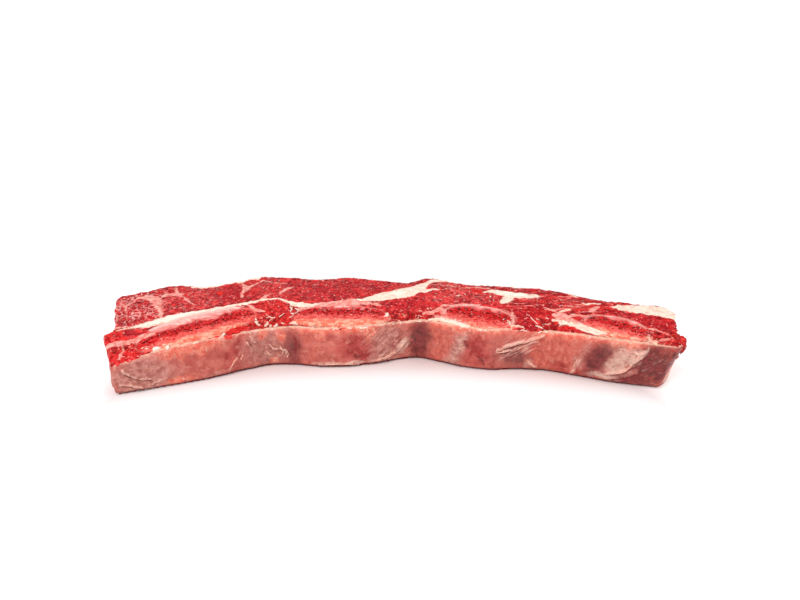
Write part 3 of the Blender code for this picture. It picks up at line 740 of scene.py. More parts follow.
def makeMarrow(number, finish):
    node = f"marrow_{number}"
    piece = remeshed(f"marrow_core_{number}", [node], marrow["voxel"])
    mesh = piece.data
    points, normals = pointsOf(mesh), normalsOf(mesh)
    top = smooth(0.5, 0.9, normals[:, 2])
    pit, share, spongy = boneFields(mesh, points, number)
    depth = marrow["pitDepth"] * spongy * (0.35 + 0.65 * smooth(0.3, 0.6, share))
    rise = np.where(np.abs(normals[:, 2]) < 0.6, marrow["spread"], 0.0)
    rise = rise + top * (marrow["lift"] - pit * depth)
    moved = points + normals * rise[:, None]
    moved[:, 2] = np.maximum(moved[:, 2], 0.0)
    moved[normals[:, 2] < -0.7, 2] = 0.05
    setPoints(mesh, moved)
    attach(piece, "root")
    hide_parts(node)
    dress(piece, finish)
    return piece


def marrowFinish():
    f = Finish("red_marrow", moist(0.04, (1.0, 0.25, 0.18), 0.18, scale=0.0010), boneTones)
    fine = f.grain(1.2, 2.0)
    return f.done(boneTone(f), 0.24 + fine * 0.14, fine, 0.3)


# Membrane: the thin skin over the inner wall, with what shows through it

membrane = {
    "step": 0.5,
    "rows": 44,
    "thickness": 0.45,
    "buried": 0.5,
    "rimRows": 7,       # over the wall's upper edge, on to the cut face
    "rimReach": 1.9,
    "rimHeld": [(-80, -72), (127, 150)],   # from x to x, where the rim hardly reaches over
    "heldReach": 0.25,
    "ends": {"leftTop": -129.6, "leftFoot": -128.6, "rightTop": 142.0, "rightFoot": 133.4},
    "fibre": 0.08,
    "foldRise": 0.6,
    "swell": 0.35,
    "footTuck": 0.55,
    # along the strip: how much peach fat the top edge shows, and how far down it reaches
    "edgePeach": [(-130, 0), (-112, 0.1), (-104, 0.7), (-84, 0.9), (-77, 0.2), (-70, 0.15), (-46, 0.2),
                  (-42, 0.8), (-10, 0.9), (-4, 0.4), (8, 0.35), (12, 0.15), (22, 0.2), (26, 0.8), (50, 0.8),
                  (60, 0.6), (66, 0.3), (76, 0.4), (80, 0.8), (98, 0.8), (104, 0.4), (110, 0.8), (122, 0.8),
                  (127, 0.3), (132, 0)],
    "edgeDepth": [(-118, 1.2), (-104, 4.6), (-92, 5.6), (-80, 4.2), (-74, 1.6), (-46, 1.4), (-30, 2.4),
                  (-6, 2.4), (0, 1.2), (24, 1.4), (40, 2.4), (60, 1.8), (90, 2.6), (143, 1.8)],
    # ovals on the wall: (x, z, half length, half height, turn, strength)
    "orangeSpots": [(-100, 2.6, 7, 2.6, 4, 1), (-61.5, 19.3, 2.6, 2.4, 0, 0.8),
                    (-52.6, 17.6, 2.6, 3.6, 0, 0.8), (-57.6, 3.8, 2.4, 2, 0, 0.9), (-33, 18, 3, 2, 0, 0.5),
                    (-8, 19.4, 4, 2, 0, 0.8)],
    "folded": [(67, 13.6, 12, 5.4, 20, 1), (128, 11, 11, 9, 40, 0.4), (117, 4, 8, 3, 10, 0.4)],
    "fibred": [(1, 12, 13, 12, 0, 1), (67, 13, 11, 8, 0, 0.9), (131, 12, 12, 12, 0, 1),
               (108, 8, 8, 9, 0, 0.5), (-118, 6, 10, 7, 0, 0.35), (-60, 10, 12, 10, 0, 0.3)],
    "freshSpot": [(-76.8, 22, 2.8, 2, 0, 1)],
}
# What shows through the membrane: how soft the ovals' edges are, then the ovals
wallZones = {
    "grey": (0.7, [(-116, 9, 15, 12, 0, 0.85), (-60, 11, 13, 13, 0, 0.7), (1, 11, 11, 13, 0, 0.8),
                   (36.5, 10, 3.6, 15, -20, 0.9), (64, 9, 8, 7, -25, 0.55), (97, 12, 2.6, 12, -22, 0.6),
                   (115, 13, 9, 11, -30, 1), (141, 10, 3, 16, -22, 0.3), (-127.5, 8, 2, 10, 0, 0.3)]),
    "purple": (0.95, [(-47.5, 10, 4.6, 11, 4, 0.75), (-60, 10, 11, 11, 0, 0.36),
                      (55.5, 10, 3.4, 9, 0, 0.42), (17.4, 12, 5.4, 13, -6, 1), (104, 12.5, 4.2, 11, -18, 1),
                      (131, 12, 7.5, 12, -33, 0.9), (127, 17, 3.2, 8, -37, 1.5),
                      (134.8, 11.6, 2, 9, -31, 1.5), (124.6, 9.4, 2.2, 2, 0, 1.2), (121, 4, 11, 2.4, 8, 1),
                      (66, 8.5, 8, 6, -25, 0.7), (-117, 15, 8, 4, 0, 0.25), (-68, 19, 3, 3, 0, 0.3),
                      (9, 18, 6, 3, 0, 0.3)]),
    "red": (0.9, [(-16, 11, 9, 8, 0, 0.85), (46, 11.5, 6.4, 9.5, 0, 0.9), (-75.8, 13, 3.2, 11, -24, 0.75),
                  (88, 5, 3.2, 3.6, 0, 0.8), (-46, 13, 1.2, 5, 8, 0.7), (54.5, 5, 2, 5, 0, 0.5),
                  (-28, 17, 5, 3, 0, 0.4), (137.5, 13, 1.8, 8, -25, 0.5), (-11, 6.4, 3.4, 4, 0, 1),
                  (-88, 13, 14, 8, 0, 0.3), (96.6, 3, 1.2, 2.4, 0, 0.9)]),
    "salmon": (0.8, [(27, 11, 5.5, 14, 0, 0.9), (84, 12, 12, 12, 0, 0.95), (-100, 2.6, 5.6, 2.8, 0, 1),
                     (-61.5, 19, 2.6, 2.6, 0, 0.9), (-52.6, 17.4, 3, 4, 0, 0.9),
                     (-57.4, 3.8, 2.4, 2.2, 0, 0.95), (-40, 18, 5, 5, 0, 0.5), (-37, 8, 3, 8, 0, 0.5),
                     (33.5, 19.5, 2, 1.5, 0, 0.8)]),
    "pale": (0.7, [(-22, 2.2, 14, 1.2, 0, 0.9), (-4, 4, 7, 1.6, 8, 0.5), (8.5, 9.5, 3, 7, -30, 0.6),
                   (-82, 20.5, 5, 1.6, 0, 0.6), (-66, 20, 3, 3, 0, 0.4), (121, 16, 3.4, 6, -30, 0.8),
                   (113.5, 12.5, 4.6, 9, -24, 0.8), (138.5, 4, 2, 5, -20, 0.8),
                   (36.6, 10, 1.6, 12, -18, 0.5), (108, 3.4, 9, 1.8, 0, 0.7), (-84, 3, 6, 1.6, 0, 0.4),
                   (64, 16, 8, 1.4, 20, 0.45), (72, 4, 3, 3, 0, 0.5)]),
}
# Folds, creases and loose threads on the wall: (x, z, half width) and how far they stand out
wallRidges = {
    "cornerWrinkle": ([(-124.5, 13.5, 0.5), (-122, 11, 0.5), (-119, 8.6, 0.5), (-116.6, 7.4, 0.5),
                       (-112.6, 6.8, 0.4)], 0.8),
    "cornerSecond": ([(-126, 6, 0.5), (-121.6, 4.8, 0.6), (-117.6, 2.6, 0.5)], 0.7),
    "footWrinkle": ([(-112.5, 3.6, 0.4), (-109.5, 5, 0.5), (-105.5, 5.8, 0.4)], 0.5),
    "cornerFold": ([(-127.4, 18, 0.5), (-126.4, 12, 0.6), (-125.6, 5, 0.5)], 0.35),
    "slitLeft": ([(-70.2, 18.4, 0.4), (-69, 15.6, 0.5), (-67.2, 13, 0.4)], 0.6),
    "slitRight": ([(-67.8, 19, 0.3), (-66.4, 16, 0.4), (-65, 14.2, 0.3)], 0.5),
    "threadA": ([(-58.6, 13.4, 0.35), (-57.4, 11, 0.45), (-55, 10.2, 0.3)], 0.7),
    "threadB": ([(-53.6, 10.6, 0.35), (-50.6, 9.8, 0.5), (-50.8, 7.4, 0.3)], 0.7),
    "threadC": ([(-62, 8.6, 0.3), (-59.6, 7.2, 0.4), (-56.4, 6.8, 0.3)], 0.4),
    "seamEdge": ([(-78.6, 3, 0.5), (-76.2, 6.6, 0.6), (-73.4, 10.4, 0.4)], 0.45),
    "foldTop": ([(56, 13, 0.5), (60, 14.6, 0.7), (65, 16, 0.6), (70, 17.4, 0.7), (75, 19, 0.6),
                 (79, 20.4, 0.4)], 1.0),
    "foldLow": ([(55.8, 11.6, 0.4), (61, 12.2, 0.6), (66, 13.6, 0.6), (71, 16, 0.5), (76, 17.6, 0.4)], 0.8),
    "foldBack": ([(58, 8, 0.4), (64, 10, 0.5), (69, 12.6, 0.4)], 0.4),
    "foldBeads": ([(70.6, 6.8, 0.5), (73.4, 4.4, 0.6), (77, 2.6, 0.5)], 0.6),
    "bandEdge": ([(93.6, 2, 0.5), (95.6, 6.6, 0.6), (97.2, 10.8, 0.5)], 0.55),
    "peelEdge": ([(108.6, 5.4, 0.4), (114, 7, 0.6), (118.2, 9.6, 0.7), (120.6, 13.4, 0.8),
                  (123.6, 17.4, 0.7), (126.4, 21, 0.5)], 1.0),
    "peelUpper": ([(120.2, 18.8, 0.5), (122.6, 18, 0.6), (124.4, 19.4, 0.4)], 0.8),
    "footFringe": ([(-34, 2, 0.5), (-28, 2.9, 0.6), (-20, 2.6, 0.6), (-14, 1.6, 0.5)], 0.5),
    "veil": ([(-9, 2.6, 0.4), (-3, 3.2, 0.5), (3, 3.8, 0.5), (8, 8.6, 0.5), (11, 12.4, 0.3)], 0.5),
    "smallNick": ([(112.6, 22, 0.3), (114.6, 22.4, 0.4), (116.6, 21.6, 0.3)], 0.4),
}
# Dark lines and marks on the wall, points of (x, z, half width): slits, nicks, trails and blotches in the
# skin, and painted shade along the wrinkles and under the folds and the peeled edge
wallSlits = {
    "slitA": [(-69.4, 17.6, 0.2), (-68.2, 15.2, 0.35), (-66.8, 13.2, 0.2)],
    "slitB": [(-66.9, 16.4, 0.15), (-65.8, 14.6, 0.25)],
    "wrinkleShade": [(-123.4, 11, 0.25), (-119.6, 8, 0.35), (-116.8, 6.4, 0.3), (-112.6, 5.8, 0.15)],
    "cornerShade": [(-125.4, 5, 0.15), (-121.6, 3.6, 0.3), (-117.8, 1.6, 0.2)],
    "veinMark": [(-45.8, 17.4, 0.35), (-45.4, 14, 0.45), (-45.8, 9.6, 0.5), (-46.2, 8.2, 0.7)],
    "redTrail": [(45.6, 9, 0.2), (49.6, 5.6, 0.5), (50.4, 3, 0.3)],
    "redNick": [(40.2, 15.8, 0.4), (41, 14.2, 0.6), (42, 13.6, 0.4), (40.8, 12.4, 0.3)],
    "blotch": [(-15.4, 6.6, 0.9), (-14, 5.4, 0.8)],
    "underFoldShade": [(58, 12.8, 0.2), (63, 13.8, 0.3), (68, 15, 0.25), (73, 17.4, 0.2)],
    "underPeelShade": [(111, 5, 0.3), (117, 7.4, 0.5), (121, 10.6, 0.4), (123.6, 14.6, 0.4), (127.6, 19.4, 0.4)],
    "lowPeel": [(112, 2.6, 0.3), (118, 4, 0.5), (124, 7.4, 0.4)],
    "darkHole": [(123.6, 8.2, 0.5), (125.4, 8.6, 0.6)],
}
membraneTones = {
    "baseDark": (184, 84, 73), "base": (206, 110, 97), "salmonDark": (184, 78, 66), "salmon": (206, 106, 90),
    "salmonPatch": (208, 92, 70), "greyDark": (160, 95, 84), "grey": (202, 140, 127),
    "redDark": (150, 28, 28), "red": (182, 66, 60), "purpleDark": (84, 14, 17), "purple": (122, 40, 41),
    "paleDark": (206, 158, 142), "pale": (228, 190, 172), "peachDark": (226, 92, 70),
    "peach": (240, 140, 116), "peachPale": (248, 200, 176), "rim": (246, 196, 170),
    "freshDark": (196, 24, 22), "fresh": (224, 46, 40), "blotchLight": (226, 158, 140),
    "blotchDark": (150, 46, 46), "speck": (170, 30, 30), "foot": (104, 16, 16),
    "fibreLight": (232, 176, 160), "fibreDark": (126, 50, 46), "ridge": (240, 192, 174),
    "slitAndShade": (124, 26, 28), "fineLight": (236, 184, 168), "fineDark": (140, 62, 56),
}


def wallProfiles():
    # rows of points up the wall and over its rim, each with its outward direction
    m, ends = membrane, membrane["ends"]
    rows, rim = m["rows"], m["rimRows"]
    tree = treeOf(*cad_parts)
    columns = int((ends["rightTop"] - ends["leftTop"]) / m["step"])
    place = np.zeros((rows + rim, columns, 3))
    outward = np.zeros((rows + rim, columns, 3))
    for c, share in enumerate(np.linspace(0, 1, columns)):
        xTop = ends["leftTop"] + share * (ends["rightTop"] - ends["leftTop"])
        xFoot = ends["leftFoot"] + share * (ends["rightFoot"] - ends["leftFoot"])
        front = castBack(tree, xTop, 12, -44.0)
        crest = castDown(tree, xTop, front + 3)   # the cut face just behind the wall
        high = crest - 1.7
        foot = 0.75 + 0.8 * noise.noise((xTop / 5, 0, 31)) + 0.4 * noise.noise((xTop / 1.5, 0, 33))
        foot = max(0.3, foot)
        for r in range(rows):
            z = foot + (high - foot) * r / (rows - 1)
            x = xFoot + (xTop - xFoot) * z / crest
            hit, normal, _, _ = tree.ray_cast(Vector((x, -80, z)) * mm, Vector((0, 1, 0)))
            if hit is None or hit.y > (front + 5) * mm:
                hit, normal = Vector((x, front + 1, z)) * mm, Vector((0, -1, 0))
            place[r, c] = np.array(hit) / mm
            outward[r, c] = normal
        wallY = place[rows - 1, c, 1]
        ragged = 0.75 + 0.75 * noise.noise((xTop / 1.7, 3, 5)) + 0.35 * noise.noise((xTop / 6, 8, 5))
        held = m["heldReach"] if any(low < xTop < high for low, high in m["rimHeld"]) else 1.0
        reach = max(0.15, m["rimReach"] * held * ragged)
        for k in range(rim):
            tilt = math.radians(15 + 75 * k / (rim - 1))
            target = Vector((xTop, wallY + reach * k / (rim - 1) + 0.9, high)) * mm
            direction = Vector((0, math.cos(tilt), -math.sin(tilt)))
            hit, normal, _, _ = tree.ray_cast(target - direction * 0.02, direction)
            if hit is None or hit.y > target.y + 4 * mm or (k > 2 and hit.z < (crest - 0.8) * mm):
                hit, normal = Vector((target.x, target.y, crest * mm)), Vector((0, -0.3, 1)).normalized()
            place[rows + k, c] = np.array(hit) / mm
            outward[rows + k, c] = normal
    return place, outward


def smoothGrid(grid, times):
    for _ in range(times):
        inner = (grid[:-2, 1:-1] + grid[2:, 1:-1] + grid[1:-1, :-2] + grid[1:-1, 2:]) / 4
        grid[1:-1, 1:-1] = inner
    return grid


def closedSheet(name, outside, inside, rows, columns):
    shape = bmesh.new()
    both = [[shape.verts.new(Vector(p) * mm) for p in side] for side in (outside, inside)]
    for side, flip in ((both[0], False), (both[1], True)):
        for r in range(rows - 1):
            for c in range(columns - 1):
                a, b = r * columns + c, (r + 1) * columns + c
                corners = [side[a], side[a + 1], side[b + 1], side[b]]
                shape.faces.new(corners[::-1] if flip else corners)
    border = list(range(columns))
    border += [r * columns + columns - 1 for r in range(1, rows)]
    border += [(rows - 1) * columns + c for c in range(columns - 2, -1, -1)]
    border += [r * columns for r in range(rows - 2, 0, -1)]
    for a, b in zip(border, border[1:] + border[:1]):
        shape.faces.new([both[0][b], both[0][a], both[1][a], both[1][b]])
    bmesh.ops.recalc_face_normals(shape, faces=shape.faces)
    mesh = bpy.data.meshes.new(name)
    shape.to_mesh(mesh)
    shape.free()
    return mesh


def makeMembrane():
    m = membrane
    place, outward = wallProfiles()
    rows, columns, _ = place.shape
    place = smoothGrid(place, 3)
    outward = smoothGrid(outward, 6)
    outward /= np.linalg.norm(outward, axis=2, keepdims=True)
    points, normals = place.reshape(-1, 3), outward.reshape(-1, 3)
    wall = points[:, [0, 2]]
    shaken = wall + shake(points, 2.4, (41, 42), 3) * 0.55
    loose = shaken + shake(points, 6.0, (51, 52), 3) * 1.8

    # ridges and slits, then fibres and folds that run up to the right
    uneven = np.clip(0.8 + 0.9 * noiseAt(points, 2.6, 43, 2), 0, 1.4)
    ridge = np.max([height * smooth(-0.6, 0.40, insideLine(shaken, line)) * uneven
                    for line, height in wallRidges.values()], axis=0)
    slitAndShade = insideLines(shaken, wallSlits)
    diagonal = np.stack([wall[:, 0] * 0.8 + wall[:, 1] * 0.6, wall[:, 1] * 0.8 - wall[:, 0] * 0.6,
                         np.zeros(len(wall))], 1) + noiseAt(points, 4.0, 48)[:, None] * 0.8
    fibres = noiseAt(diagonal, (4.5, 0.9, 1.0), 44, 2) * inPatches(wall, m["fibred"], 0.5)
    folds = (1 - np.abs(noiseAt(diagonal, (9.0, 1.7, 1.0), 49)) * 4.5) * inPatches(wall, m["folded"], 0.5)
    rise = m["thickness"] + ridge - 0.35 * smooth(-0.2, 0.3, slitAndShade) + m["foldRise"] * np.maximum(folds, 0)
    rise += m["fibre"] * fibres + m["swell"] * noiseAt(points, (8, 8, 5), 45)
    ridge = np.maximum(ridge, 0.5 * np.maximum(folds, 0))
    rim = np.zeros((rows, columns))
    rim[-m["rimRows"]:] = np.linspace(0, 1, m["rimRows"])[:, None]
    rise *= 1 - 0.75 * smooth(0.2, 1.0, rim.ravel())
    rise -= m["footTuck"] * smooth(2.2, 0.4, points[:, 2])
    outside = points + normals * rise[:, None]
    inside = points - normals * m["buried"]
    outside[:, 2] = np.maximum(outside[:, 2], 0.05)
    inside[:, 2] = np.maximum(inside[:, 2], 0.05)
    piece = addObject("membrane", closedSheet("membrane", outside, inside, rows, columns))

    edgePeach = np.interp(points[:, 0], *np.array(m["edgePeach"]).T)
    edgeDepth = np.interp(points[:, 0], *np.array(m["edgeDepth"]).T)
    fromTop = np.tile(place[-1, :, 2], rows) - points[:, 2]
    ragged = fromTop + 1.2 * noiseAt(points, 2.6, 46, 3) + noiseAt(points, 5.0, 47) * edgeDepth * 0.7
    peach = edgePeach * smooth(edgeDepth + 2.0, edgeDepth - 1.4, ragged)
    fields = {name: inPatches(loose, zones, edge) for name, (edge, zones) in wallZones.items()}
    fields |= {"ridge": ridge, "slitAndShade": slitAndShade, "fibres": fibres, "fromTop": fromTop, "foot": points[:, 2],
               "peach": np.maximum(peach, inPatches(loose, m["orangeSpots"], 0.5)),
               "fresh": inPatches(shaken, m["freshSpot"], 0.5)}
    setFields(piece.data, {name: np.tile(values, 2) for name, values in fields.items()})
    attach(piece, "root")
    dress(piece, membraneFinish())
    return piece


def membraneFinish():
    f = Finish("rib_membrane", moist(0.10, (1.0, 0.35, 0.25), 0.42), membraneTones)
    fine = f.grain(1.1, 3.0)
    coarse = f.grain(5.0, 3.0)
    grainy = f.grain(1.6, 3.0, f.moved((1.0, 1.0, 0.5)))
    wobble = (f.grain(2.2, 3.0) - 0.5) * 0.6
    streaks, purple = f.field("fibres"), f.field("purple")

    # what shows through, one kind of patch over the other
    salmon = f.layers(f.blend(grainy, 0.36, 0.64, "salmonDark", "salmon"),
                      (f.grain(7.0, 2.0), 0.50, 0.66, 0.6, "salmonPatch"))
    grey = f.blend(f.grain(3.0, 3.0), 0.36, 0.64, "greyDark", "grey")
    red = f.blend(coarse, 0.4, 0.62, "redDark", "red")
    mauve = f.blend(f.grain(2.4, 3.0), 0.36, 0.66, "purpleDark", "purple")
    pale = f.blend(coarse, 0.4, 0.6, "paleDark", "pale")
    peach = f.layers(f.blend(f.grain(3.4, 3.0), 0.40, 0.60, "peachDark", "peach"),
                     (grainy, 0.58, 0.68, 0.7, "peachPale"))
    colour = f.layers(f.blend(coarse, 0.35, 0.68, "baseDark", "base"),
                      (f.field("salmon") + wobble, 0.1, 0.8, 1.0, salmon),
                      (f.field("grey") + wobble * 0.6, 0.1, 0.9, 0.85, grey),
                      (f.field("red") + wobble, 0.1, 0.85, 0.85, red),
                      (purple + wobble * 0.5 + streaks * 0.5, 0.05, 0.95, 0.92, mauve),
                      (f.field("pale") + wobble + streaks * 0.4, 0.15, 0.85, 0.85, pale))
    colour = f.mix(f.field("peach") * 0.85, colour, peach)

    # the skin itself: its pale rim with a painted highlight along the top edge, blotches, painted contact
    # shade along the foot, fibres, folds and threads that are pale cream with painted highlight on the
    # wrinkles' crests, and fine grain
    blotch = f.grain(2.8, 3.0, f.bent(4.0, 2.0))
    calm = f.step(purple, 0.7, 0.1)   # 1 where no dark patch shows through
    grained = f.field("grey") + purple * 0.15 + 0.25
    fresh = f.blend(fine, 0.4, 0.6, "freshDark", "fresh")
    colour = f.layers(colour,
                      (f.field("fromTop") + wobble * 1.6, 0.9, 0.1, 0.75, "rim"),
                      (f.field("fresh") + wobble, 0.3, 0.7, 1.0, fresh),
                      (blotch, 0.57, 0.69, calm * 0.30, "blotchLight"),
                      (blotch, 0.45, 0.33, 0.35, "blotchDark"),
                      (f.grain(1.5, 1.0), 0.70, 0.74, 0.6, "speck"),
                      (f.field("foot") + wobble * 1.6, 2.4, 0.5, 0.8, "foot"),
                      (streaks, 0.15, 0.5, calm * 0.16 + 0.10, "fibreLight"),
                      (streaks, -0.12, -0.45, 0.4, "fibreDark"),
                      (f.field("ridge"), 0.15, 0.55, 0.5, "ridge"),
                      (f.field("slitAndShade"), -0.35, 0.15, 0.7, "slitAndShade"),
                      (fine, 0.60, 0.72, grained * (calm * 0.25 + 0.2), "fineLight"),
                      (fine, 0.42, 0.30, grained * 0.5, "fineDark"))
    roughness = f.step(fine, 0.40, 0.62) * 0.24 + 0.26
    height = fine * 0.5 + f.grain(1.8, 3.0, f.moved((0.5, 1.0, 1.6))) * 0.5
    return f.done(colour, roughness, height, 0.55)


# Loose bits: curls and crumbs of fat on the cut face, threads on the wall, shreds at the right end

bits = {
    "step": 0.35,
    "sides": 7,
    "rag": 0.5,
    "wallThin": 0.8,    # threads on the wall are finer and duller than bits on the face
    "wallDull": 0.5,
    "seed": 4,
    "backTufts": 16,    # on the very edge at the back
    "rimFlecks": 70,
    "rimBack": 1.3,     # how far behind the wall's front the flecks lie
    # crumbs strewn in ovals on the face: (x, y, half length, half width, turn, how many)
    "crumbs": [(-60, -8, 12, 6, 0, 8), (9, -5, 12, 4, 0, 6), (38, -14, 8, 3, -25, 6), (63, -16, 3, 5, 0, 5),
               (84, -13, 7, 4, -20, 6), (-48, 0, 3, 5, 0, 5), (-112, -36, 7, 3, 10, 5),
               (130, -33, 5, 3, -10, 4), (20, -1, 5, 3, 0, 4), (44, 14, 14, 5, 0, 6),
               (-70, 28, 10, 8, 0, 4)],
}
# On the cut face, points of (x, y, half thickness), then the tone: 0 cream, 1 peach, 2 red
faceBits = [
    ([(-67.3, -8.8, 0.6), (-66.5, -11.2, 0.8), (-64.6, -13.4, 0.7), (-63.2, -13.6, 0.4)], 0.5),
    ([(-61.4, -9, 0.5), (-60.8, -12.2, 0.8), (-61.6, -15.2, 0.7)], 0.4),
    ([(-59, -12.2, 0.6), (-58.6, -15.6, 0.8)], 0.6),
    ([(-56.2, -11.4, 0.6), (-55.4, -14.2, 0.8), (-57, -16, 0.5)], 0.3),
    ([(-49.5, -12.8, 0.5), (-46.5, -13.8, 0.6), (-44.5, -15, 0.4)], 0.4),
    ([(-63.6, -1.6, 0.2), (-61.6, -3.6, 0.3), (-58.6, -5, 0.35), (-55.6, -4.6, 0.3),
      (-53.4, -2.4, 0.2)], 0.1),
    ([(-111.4, -38.2, 0.9), (-109.4, -37.8, 1.3), (-107.6, -36.8, 0.9)], 0),
    ([(-105.2, -37.4, 0.8), (-103.2, -37.6, 1)], 0),
    ([(-80.6, -28, 0.6), (-79.2, -25.6, 0.7)], 0.3),
    ([(0.2, -1.6, 0.6), (1, -4, 0.9), (0.2, -6.2, 0.6)], 0.1),
    ([(-51.4, 4.6, 0.4), (-50, 1.6, 0.4), (-50.6, -1.4, 0.3)], 0.2),
    ([(-48.6, 3.4, 0.35), (-46.4, 0.8, 0.4), (-46.8, -2.6, 0.3)], 0.3),
    ([(-16, -18, 0.3), (-12, -19.2, 0.4), (-8.6, -18.2, 0.3)], 0.2),
    ([(73.8, -6.4, 0.2), (75.2, -11, 0.28), (77.6, -15.6, 0.2)], 0.2),
    ([(75.8, -18, 0.4), (77.4, -20.2, 0.6), (79.4, -20.8, 0.4)], 0.3),
    ([(66.4, -19.2, 0.5), (67.4, -21.2, 0.6), (69.6, -21.8, 0.4)], 0.6),
    ([(80.4, -12, 0.4), (83, -13.4, 0.5), (86.4, -12.8, 0.3)], 0.2),
    ([(62.2, -11.6, 0.35), (63.4, -15.4, 0.5), (62.8, -18.6, 0.4)], 0.2),
    ([(126.8, -31.6, 0.8), (129.4, -34.2, 1), (132.6, -35.4, 0.7)], 1),
    ([(118.6, -33.4, 0.4), (121.4, -33, 0.5), (123, -34.2, 0.3)], 0.5),
    ([(126, -22.4, 0.5), (131, -24.4, 0.7), (136.4, -27.6, 0.6)], 2),
    ([(129, -26, 0.5), (134, -29.6, 0.8), (138.6, -31.4, 0.5)], 2),
    ([(-135, -22, 0.4), (-130, -19.8, 0.5), (-125.4, -18.6, 0.3)], 0.6),
]
# On the wall, points of (x, z, half thickness), then the tone
wallBits = [
    ([(-58.8, 13.6, 0.25), (-57.6, 11.6, 0.35), (-55.6, 10.6, 0.25)], 0.3),
    ([(-53.8, 12.4, 0.25), (-52.6, 10.6, 0.35), (-52, 8.6, 0.35), (-53.2, 7.2, 0.25)], 0.2),
    ([(-50.2, 9.8, 0.25), (-49.6, 7.4, 0.4), (-50.6, 5, 0.4)], 0.6),
    ([(-61, 9.6, 0.25), (-59.4, 8, 0.35), (-58.6, 6.6, 0.2)], 0.3),
    ([(56.5, 12.6, 0.25), (61, 14.2, 0.35), (66, 15.8, 0.3), (71, 17.4, 0.35), (78.6, 20.2, 0.25)], 0.3),
    ([(55.6, 11.4, 0.25), (59, 12, 0.35), (63.4, 12.8, 0.25)], 0.2),
    ([(64, 11.6, 0.2), (69, 14.4, 0.3), (74, 16.4, 0.2)], 0.3),
    ([(72, 6.4, 0.3), (73.6, 4.8, 0.4), (74.4, 3.2, 0.3)], 0.4),
    ([(93.6, 4.8, 0.2), (94.8, 8, 0.35), (95.2, 11, 0.25)], 0.2),
    ([(120.6, 14.6, 0.4), (121.8, 17.4, 0.5), (124, 19.6, 0.4)], 0.2),
    ([(119.4, 18.4, 0.3), (121.2, 18.8, 0.4)], 0.1),
    ([(112, 6.2, 0.25), (116.6, 8.6, 0.4), (119.6, 12.2, 0.4)], 0.3),
    ([(-77.4, 4.6, 0.25), (-75.6, 7.6, 0.4), (-74.2, 9.6, 0.25)], 0.3),
    ([(-72.8, 7.6, 0.25), (-71.4, 10.4, 0.35)], 0.3),
    ([(-8, 2.2, 0.2), (-3, 3.2, 0.35), (1.6, 4.4, 0.3), (5, 6.6, 0.2)], 0.5),
    ([(-33, 1.6, 0.25), (-27, 2.4, 0.4), (-20, 2.2, 0.35), (-14.6, 1.4, 0.2)], 0.3),
]
# Shreds that hang off the right end, points of (x, y, z, half thickness)
endShreds = [
    [(139, -31.5, 22.4, 0.8), (143.6, -33.6, 22, 1.1), (145.4, -35, 19.4, 0.9), (143.2, -36.4, 16.4, 0.5)],
    [(141, -28, 22.8, 0.7), (145.6, -31, 22.6, 1), (146.8, -32.8, 20.6, 0.6)],
]
bitTones = {"cream": (246, 214, 196), "white": (254, 236, 222), "peachDark": (234, 150, 128),
            "peach": (246, 188, 164)}
shredTones = {"dark": (140, 6, 12), "red": (214, 44, 42), "pale": (244, 150, 140)}


def addTube(shape, path, radii, seed):
    steps = np.concatenate([[0], np.cumsum(np.linalg.norm(np.diff(path, axis=0), axis=1))])
    count = max(5, int(steps[-1] / bits["step"]) + 2)
    along = np.linspace(0, 1, count)
    middle = np.stack([np.interp(along, steps / max(steps[-1], 1e-6), path[:, k]) for k in range(3)], 1)
    for _ in range(3):
        middle[1:-1] = (middle[:-2] + middle[2:] + 2 * middle[1:-1]) / 4
    thick = np.interp(along, steps / max(steps[-1], 1e-6), radii)
    thick = thick * np.sqrt(np.clip(1 - (2 * along - 1) ** 6, 0.02, 1))
    rings = []
    for k in range(count):
        ahead = middle[min(k + 1, count - 1)] - middle[max(k - 1, 0)]
        ahead = Vector(ahead).normalized()
        right = ahead.cross(Vector((0.1, 0.2, 1.0))).normalized()
        upward = right.cross(ahead)
        ring = []
        for s in range(bits["sides"]):
            turn = 2 * math.pi * s / bits["sides"]
            out = right * math.cos(turn) + upward * math.sin(turn)
            spot = Vector(middle[k])
            rag = 1 + bits["rag"] * 2 * noise.noise(spot * 1.3 + out * 0.8 + Vector((seed, 0, 0)))
            ring.append(shape.verts.new((spot + out * thick[k] * rag) * mm))
        rings.append(ring)
    sides = bits["sides"]
    for lower, upper in zip(rings[:-1], rings[1:]):
        for s in range(sides):
            shape.faces.new([lower[s], lower[(s + 1) % sides], upper[(s + 1) % sides], upper[s]])
    shape.faces.new(rings[0][::-1])
    shape.faces.new(rings[-1])
    return count * sides


def placedBits(ground):
    # the bits placed one by one, each a path, its half thicknesses and its tone
    paths = []
    for line, tone in faceBits:
        placed = [(x, y, castDown(ground, x, y) + 0.35 * half) for x, y, half in line]
        paths.append((placed, [half for _, _, half in line], tone))
    for line, tone in wallBits:
        placed = [(x, castBack(ground, x, z) - 0.1 * half, z) for x, z, half in line]
        paths.append((placed, [half * bits["wallThin"] for _, _, half in line], tone + bits["wallDull"]))
    return paths


def strewnBits(ground, dice):
    paths = []
    for x, y, long, wide, turn, count in bits["crumbs"]:
        a = math.radians(turn)
        for _ in range(count):
            u, v = dice.uniform(-1, 1, 2)
            cx = x + u * long * math.cos(a) - v * wide * math.sin(a)
            cy = y + u * long * math.sin(a) + v * wide * math.cos(a)
            bend = dice.uniform(0, math.pi)
            half = dice.uniform(0.22, 0.42)
            reach = dice.uniform(0.5, 1.3)
            placed = []
            for side in (-1, 0, 1):
                px = cx + side * reach * math.cos(bend)
                py = cy + side * reach * math.sin(bend) + 0.3 * abs(side)
                placed.append((px, py, castDown(ground, px, py) + 0.3 * half))
            paths.append((placed, [half * 0.7, half, half * 0.7], dice.uniform(0.0, 0.8)))
    return paths


